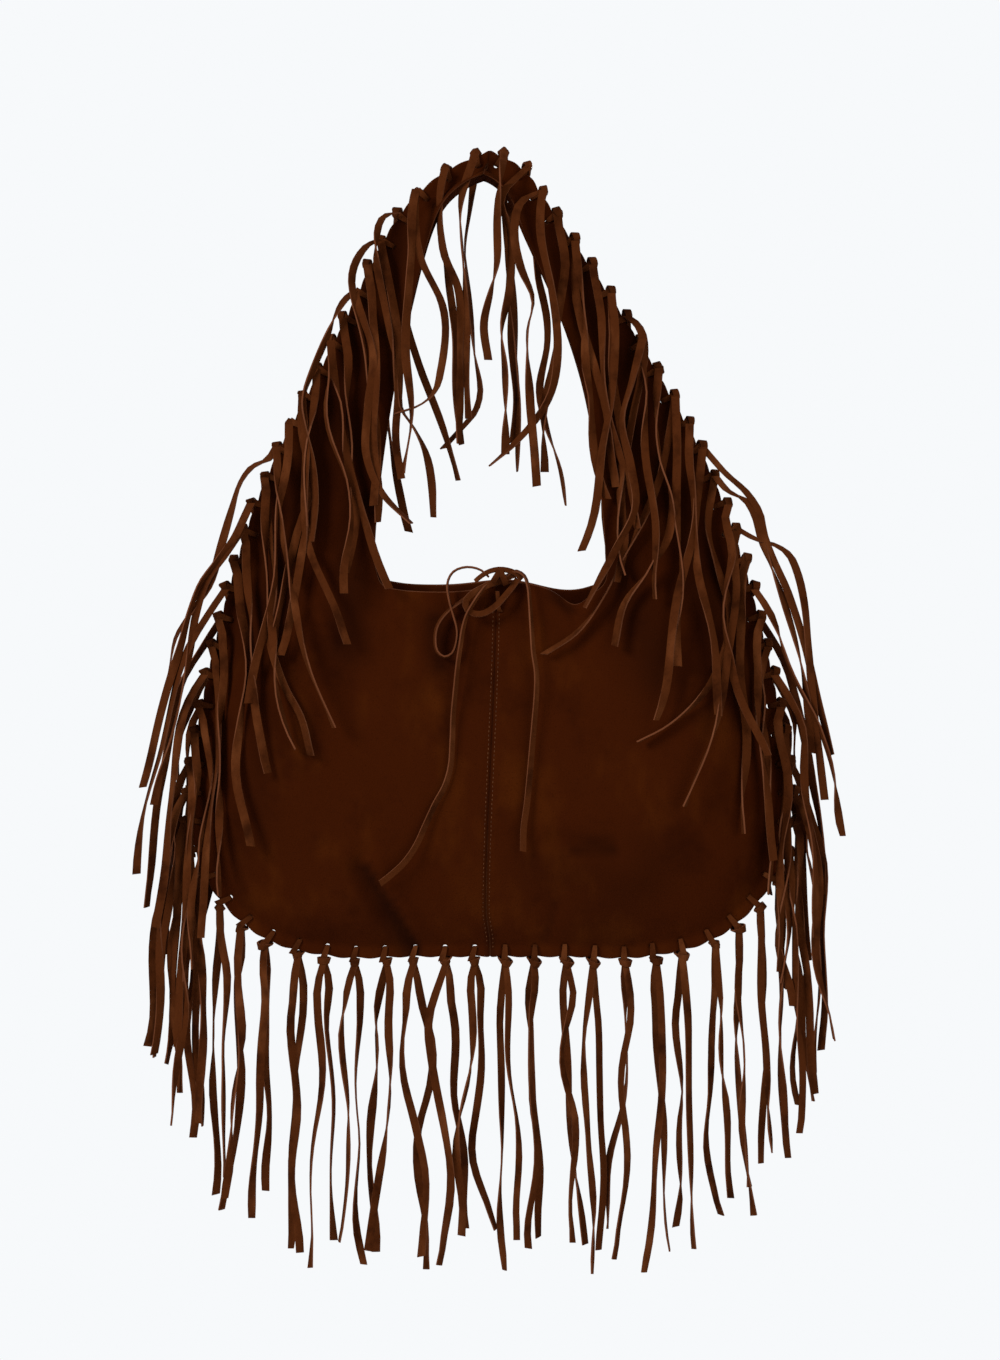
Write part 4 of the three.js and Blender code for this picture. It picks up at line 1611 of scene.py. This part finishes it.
    def ring_line(self, lace: int, side: Side) -> tuple[list[Vector], list[Vector], list[float]]:
        """The strand from the knot through the hole and back on the other side.

        Args:
            lace: the lace's number from the middle of the bottom.
            side: the half of the bag.

        Returns:
            The points of its middle line, the direction of its width and its share of the full width.
        """
        hole, out, knot = self.seats[lace]
        along = Vector((-out.z, 0.0, out.x))
        reach = (knot - hole).length
        lean = self.ring_lean * vary(lace, Salt.RING_LEAN + side.value)
        if side is Side.LEFT and lace < self.first_strap_lace:
            lean += self.corner_slant
        tuck = self.ring_tuck * (1 + vary(lace, Salt.TUCK + side.value))
        # How far each point lies out from the hole and from the plane of the edge, and its width.
        half = [
            (reach, 0.0014, 0.80),
            (reach - 0.0022, 0.0026, 0.74),
            (reach * 0.55, 0.0029, 0.70),
            (0.0022, 0.0030, 0.60),
            (0.0003 - tuck, 0.0026, 0.50),
            (-0.0002 - tuck, 0.0012, 0.46),
        ]
        course = [(outward, -y, width) for outward, y, width in half] + half[::-1]
        points = []
        for outward, y, _ in course:
            place = hole + out * outward + along * (lean * outward / reach)
            points.append(self.shape.placed(Vector((place.x, y, place.z)), side))
        wide = Vector((along.x * side.value, 0.0, along.z))
        return points, [wide] * len(course), [width for _, _, width in course]

    def build(self, lace: int, side: Side, finishes: Finishes) -> bpy.types.Object:
        """Makes one lace.

        Args:
            lace: its number from the middle of the bottom.
            side: the half of the bag.
            finishes: the bag's materials.

        Returns:
            The lace.
        """
        mesh = bmesh.new()
        ring, ring_wide, ring_widths = self.ring_line(lace, side)
        ring_strip = Strip(self.lace_width, self.lace_thickness * self.ring_thinning)
        ring_strip.add(mesh, ring, ring_wide, ring_widths)
        wrap, wrap_wide = self.knot_wrap(lace, side)
        wrap_width = self.lace_width * self.knots.wrap_width * self.knot_size(lace)
        Strip(wrap_width, self.lace_thickness).add(mesh, wrap, wrap_wide)
        self.add_knot_core(mesh, lace, side)
        strip = Strip(self.lace_width, self.lace_thickness, cup=self.cut.cup)
        for ply in Ply:
            points, wide = self.tail_line(lace, side, ply)
            cut = self.cut.slant * vary(lace, Salt.CUT + ply.value + 2 * side.value)
            strip.add(mesh, points, wide, self.tail_widths(lace, side, ply), slant=cut)
        name = side.name.lower() + f"_{lace + 1:02d}"
        piece = new_piece("fringe_" + name, mesh, [finishes.lace, finishes.lace_edge])
        if "lace_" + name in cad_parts:
            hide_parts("lace_" + name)
        return piece


@dataclass
class SeamStitching:
    """Two rows of short stitches down the centre seam of each face."""

    shape: BagShape
    fringe: Fringe
    stitch_length: float = 0.0019
    stitch_pitch: float = 0.0027
    stitch_width: float = 0.0006
    stitch_shift: float = 0.0001
    row_offsets: tuple[float, ...] = (-0.0019, 0.0019)
    top: float = -0.279
    low: float = -0.488

    def build(self, ply: Ply, finishes: Finishes) -> bpy.types.Object:
        """Makes the stitches of one face.

        Args:
            ply: the face.
            finishes: the bag's materials.

        Returns:
            The stitches, as one piece.
        """
        mesh = bmesh.new()
        size = Vector((self.stitch_width, self.stitch_width, self.stitch_length))
        count = int((self.top - self.low) / self.stitch_pitch)
        for row, offset in enumerate(self.row_offsets):
            for k in range(count):
                z = self.top - (k + 0.5 * row) * self.stitch_pitch
                x = self._seam_x(z) + offset + self.stitch_shift * vary(k, row)
                middle = Vector((x, ply.value * self.fringe.face_depth(x, z, ply), z))
                made = bmesh.ops.create_icosphere(mesh, subdivisions=1, radius=0.5)["verts"]
                for vert in made:
                    vert.co = middle + vert.co * Vector((1, ply.value, 1)) * size
        return new_piece("seam_stitches_" + ply.name.lower(), mesh, [finishes.thread])

    def _seam_x(self, z: float) -> float:
        """Where the centre seam runs at a height.

        Args:
            z: the height.

        Returns:
            The seam's x.
        """
        length = self.shape.rung(0.0, Ply.FRONT)[3]
        inset = z - self.shape.bottom - self.shape.flat_edge
        across = min(1.0, max(0.0, inset / (length - self.shape.flat_edge)))
        return self.fringe.panels.dress(Vector((0.0, self.shape.belly_depth, z)), across, Ply.FRONT).x


@dataclass(frozen=True)
class TieCord:
    """A loop or tail of the tie: its names, its route in millimetres and how its width turns."""

    name: str
    node: str
    far_end: str
    turns: tuple[float, float]
    route: Route


@dataclass
class MouthTie:
    """The tie at the middle of the mouth: a knot with its ring, two loops and two tails."""

    width: float = 0.0038
    thickness: float = 0.0010
    cut: float = 0.1
    step: float = 0.003
    cords: tuple[TieCord, ...] = (
        TieCord("bow_loop_left", "tie_loop_left", "object", (1.5, 1.2), (
            (-1, -15.2, -257.5), (-6.2, -15, -253.1), (-14.7, -15, -251.5), (-22.3, -16, -254.4),
            (-25.6, -17, -261), (-24.4, -19, -271.5), (-21.4, -21.5, -282), (-19.4, -23.5, -290),
            (-20, -24.6, -298), (-22.6, -25.6, -304.6), (-28, -26, -307), (-32.6, -25.8, -303.6),
            (-34.2, -24.6, -297), (-33, -22.8, -287.6), (-27, -20.4, -278.6), (-17, -18.6, -271),
            (-8, -17.6, -264.6), (-1, -17, -260),
        )),
        TieCord("bow_loop_right", "tie_loop_right", "object", (0.15, 0.6), (
            (16, -14.8, -255.5), (7, -18, -258.7), (-3.3, -20, -263.3), (-10.8, -21.2, -267.7),
            (-14.8, -22, -272.3), (-13.6, -22.8, -277.3), (-9, -23.2, -279.8), (-3.3, -22.8, -279.2),
            (3.6, -21.6, -274.7), (9.9, -19.5, -267.7), (14.4, -17.5, -262), (17, -15.5, -258),
        )),
        TieCord("bow_tail_left", "tie_tail_left", "bare", (1.25, 0.3), (
            (0, -17.6, -260.5), (-4.5, -19.5, -266), (-9.5, -21.8, -273.5), (-13.8, -24, -281.5),
            (-16, -26, -289.5), (-17.4, -27.6, -299), (-18.9, -28.8, -309), (-20.6, -29.6, -326),
            (-22, -29.9, -342), (-22.6, -30.3, -358), (-23.6, -30.6, -373), (-27, -30.6, -385),
            (-33, -30.6, -396), (-39, -30.6, -409), (-45, -30.5, -422), (-52, -30.3, -432),
            (-60, -30, -439.5), (-67, -29.6, -445),
        )),
        TieCord("bow_tail_right", "tie_tail_right", "bare", (1.35, 0.2), (
            (9, -15.4, -257), (14.7, -15.2, -252.8), (21, -16, -255.4), (24, -18, -263),
            (25, -20.4, -272.4), (26, -24, -287.6), (27, -26.6, -302.8), (28.9, -28, -316),
            (28.8, -29, -329.3), (27.6, -30.2, -344.5), (26.1, -31, -361.6), (24.6, -31.2, -378.7),
            (22.9, -31.2, -395.8), (20.8, -31.2, -411), (20.4, -31, -425.2),
        )),
    )
    knot_centre: Place = (0.0060, -0.0165, -0.2585)
    knot_half: Place = (0.0046, 0.0036, 0.0034)
    wraps: tuple[tuple[float, float], ...] = ((0.55, -0.0026), (-0.40, 0.0024))
    wrap_width: float = 0.0036
    wrap_steps: int = 24
    wrap_turns: float = 1.1
    wrap_radius: float = 0.0041
    wrap_taper: float = 0.0022
    over_width: float = 0.0034
    over_turns: tuple[float, float] = (0.9, 0.4)
    over_strand: Route = (
        (-9.5, -15.6, -259.5), (-5.5, -16.4, -256.2), (-1, -17.4, -253.6), (5, -18, -252.2),
        (11, -17.4, -252.8), (16.5, -16.2, -255), (20, -15.2, -258.4),
    )
    ring_width: float = 0.0024
    ring_steps: int = 40
    ring: Route = (
        (4.6, -17.0, -266.0), (5.2, -15.6, -274.5), (5.8, -14.6, -278.4), (6.6, -12.6, -278.6),
        (7.0, -9.0, -278.2), (7.0, 0.0, -275.8), (7.0, 9.0, -273.4), (7.0, 12.6, -273.2),
        (7.0, 14.6, -270.2), (7.0, 14.2, -264.0), (7.0, 12.0, -258.6), (6.8, 8.0, -255.6),
        (6.2, 0.0, -254.6), (5.4, -7.0, -254.8), (4.8, -12.6, -256.8), (4.4, -15.6, -260.6),
    )

    def line(self, route: Route, steps: int | None = None) -> list[Vector]:
        """The points of a route given in millimetres: even, and close together unless steps are given.

        Args:
            route: what the line goes through.
            steps: in how many parts, or None for parts of one step.

        Returns:
            The points, in metres.
        """
        curve = SmoothCurve([tuple(value * MM for value in point) for point in route])
        count = steps or math.ceil(curve.length / self.step)
        return [curve.at(k / count) for k in range(count + 1)]

    def widths_across(self, line: list[Vector], turns: tuple[float, float]) -> list[Vector]:
        """The direction of the strip's width along a line, turned about it from first to last.

        Args:
            line: the middle line.
            turns: how far the width turns out of the plane of the face at each end, in radians.

        Returns:
            A direction for each point.
        """
        found = []
        for k, _ in enumerate(line):
            along = (line[min(k + 1, len(line) - 1)] - line[max(k - 1, 0)]).normalized()
            flat = along.cross(Vector((0.0, 1.0, 0.0))).normalized()
            out = flat.cross(along).normalized()
            turn = turns[0] + (turns[1] - turns[0]) * k / (len(line) - 1)
            found.append((flat * math.cos(turn) + out * math.sin(turn)).normalized())
        return found

    def build_cord(self, cord: TieCord, finishes: Finishes) -> bpy.types.Object:
        """Makes a loop or tail of the tie.

        Args:
            cord: what is made.
            finishes: the bag's materials.

        Returns:
            The piece.
        """
        line = self.line(cord.route)
        mesh = bmesh.new()
        wide = self.widths_across(line, cord.turns)
        Strip(self.width, self.thickness).add(mesh, line, wide, slant=self.cut)
        piece = new_piece(cord.name, mesh, [finishes.lace, finishes.lace_edge])
        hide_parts(cord.node)
        return piece

    def add_wrap(self, mesh: bmesh.types.BMesh, tilt: float, shift: float, start: float) -> None:
        """Adds a turn of the lace round the knot.

        Args:
            mesh: what it is added to.
            tilt: how far the turn leans over, in radians.
            shift: how far it lies beside the middle of the knot.
            start: the angle at which it starts, in radians.
        """
        upright = Vector((math.sin(tilt), 0.0, math.cos(tilt)))
        across = Vector((math.cos(tilt), 0.0, -math.sin(tilt)))
        line = []
        for k in range(self.wrap_steps + 1):
            share = k / self.wrap_steps
            angle = 2 * math.pi * self.wrap_turns * share + start
            radius = self.wrap_radius - self.wrap_taper * abs(2 * share - 1) ** 6
            place = Vector(self.knot_centre) + upright * (radius * math.cos(angle)) + across * shift
            line.append(place + Vector((0.0, radius * math.sin(angle), 0.0)))
        Strip(self.wrap_width, self.thickness).add(mesh, line, [across] * len(line))

    def build_knot(self, finishes: Finishes) -> bpy.types.Object:
        """Makes the knot and the ring that goes over both rims and back through the pouch.

        Args:
            finishes: the bag's materials.

        Returns:
            The knot.
        """
        mesh = bmesh.new()
        for vert in bmesh.ops.create_icosphere(mesh, subdivisions=2, radius=1.0)["verts"]:
            vert.co = Vector(self.knot_centre) + vert.co * Vector(self.knot_half)
        for number, (tilt, shift) in enumerate(self.wraps):
            self.add_wrap(mesh, tilt, shift, start=number)
        over = self.line(self.over_strand)
        Strip(self.over_width, self.thickness).add(mesh, over, self.widths_across(over, self.over_turns))
        ring = self.line(self.ring, self.ring_steps)
        Strip(self.ring_width, self.thickness).add(mesh, ring, [Vector((1.0, 0.0, 0.0))] * len(ring))
        piece = new_piece("bow_knot", mesh, [finishes.lace, finishes.lace_edge])
        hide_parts("tie_knot")
        return piece


@dataclass(frozen=True)
class Lamp:
    """A soft square lamp: where it hangs, the length of its side and its power in watts."""

    name: str
    place: Place
    size: float
    power: float

    def hang(self, target: Vector) -> None:
        """Adds the lamp, turned to what it lights.

        Args:
            target: the middle of what it lights.
        """
        data = bpy.data.lights.new(self.name, "AREA")
        data.size = self.size
        data.energy = self.power
        lamp = bpy.data.objects.new(self.name, data)
        lamp.location = self.place
        lamp.rotation_euler = (target - Vector(self.place)).to_track_quat("-Z", "Y").to_euler()
        bpy.context.scene.collection.objects.link(lamp)


@dataclass
class Studio:
    """A pale floor and background, soft light and the camera."""

    frame_height: float = 0.8432
    lens: float = 85.0
    sensor: float = 36.0
    centre: Place = (0.0062, 0.0, -0.3205)
    world_strength: float = 0.42
    floor_drop: float = 0.30
    floor_radius: float = 0.75
    floor_sides: int = 96
    floor_roughness: float = 0.9
    pale: Colour = (247, 249, 251)
    floor_paint: Colour = (232, 234, 236)
    lamps: tuple[Lamp, ...] = (
        Lamp("key", (-1.7, -1.5, 0.8), size=0.9, power=49.0),
        Lamp("fill", (1.5, -1.9, 0.1), size=1.6, power=22.0),
        Lamp("rear", (0.3, 2.0, 0.8), size=1.6, power=30.0),
    )

    def camera(self) -> None:
        """Sets the camera level with the middle of the bag, square to its front."""
        data = bpy.data.cameras.new("view")
        data.lens = self.lens
        data.sensor_width = self.sensor
        data.sensor_fit = "VERTICAL"
        data.sensor_height = self.sensor
        camera = bpy.data.objects.new("view", data)
        bpy.context.scene.collection.objects.link(camera)
        distance = self.frame_height * self.lens / self.sensor
        camera.location = (self.centre[0], -distance, self.centre[2])
        camera.rotation_euler = (math.pi / 2, 0.0, 0.0)
        bpy.context.scene.camera = camera

    def world(self) -> None:
        """A plain pale world that lights softly from all round."""
        world = bpy.data.worlds.new("studio")
        world.use_nodes = True
        nodes, links = world.node_tree.nodes, world.node_tree.links
        seen = nodes.new("ShaderNodeBackground")
        set_inputs(seen, {"Color": srgb(*self.pale)})
        light = nodes["Background"]
        set_inputs(light, {"Color": (1.0, 1.0, 1.0, 1.0), "Strength": self.world_strength})
        path = nodes.new("ShaderNodeLightPath")
        mix = nodes.new("ShaderNodeMixShader")
        links.new(path.outputs["Is Camera Ray"], mix.inputs["Fac"])
        links.new(light.outputs["Background"], mix.inputs[1])
        links.new(seen.outputs["Background"], mix.inputs[2])
        links.new(mix.outputs["Shader"], nodes["World Output"].inputs["Surface"])
        bpy.context.scene.world = world

    def floor(self) -> None:
        """A round pale floor below the bag."""
        mesh = bmesh.new()
        bmesh.ops.create_circle(mesh, cap_ends=True, segments=self.floor_sides, radius=self.floor_radius)
        bmesh.ops.translate(mesh, verts=mesh.verts, vec=(0.0, 0.0, cad_box[0][2] - self.floor_drop))
        data = bpy.data.meshes.new("floor")
        mesh.to_mesh(data)
        mesh.free()
        floor = bpy.data.objects.new("floor", data)
        bpy.context.scene.collection.objects.link(floor)
        material = bpy.data.materials.new("floor_paint")
        material.use_nodes = True
        shader = material.node_tree.nodes["Principled BSDF"]
        set_inputs(shader, {"Base Color": srgb(*self.floor_paint), "Roughness": self.floor_roughness})
        data.materials.append(material)

    def build(self) -> None:
        """Builds the whole studio."""
        self.camera()
        self.world()
        self.floor()
        for lamp in self.lamps:
            lamp.hang(Vector(self.centre))
        bpy.context.scene.view_settings.view_transform = "Standard"


def main() -> None:
    """Builds the studio and the bag, piece by piece."""
    logging.basicConfig(level=logging.INFO, format="%(name)s: %(message)s")
    Studio().build()
    finishes = Finishes()
    shape = BagShape()
    panels = SuedePanels(shape)
    fringe = Fringe(shape, panels)
    tie = MouthTie()
    for cord in tie.cords:
        tie.build_cord(cord, finishes)
    tie.build_knot(finishes)
    log.info("tie built")
    for ply in Ply:
        for side in Side:
            panel = panels.build(ply, side, finishes)
            log.info("%s built", panel.name)
    for side in Side:
        for lace in range(panels.laces_per_half):
            fringe.build(lace, side, finishes)
        log.info("fringe built, %s", side.name.lower())
    stitching = SeamStitching(shape, fringe)
    for ply in Ply:
        stitching.build(ply, finishes)
    log.info("seam stitches built")


if __name__ == "__main__":
    main()
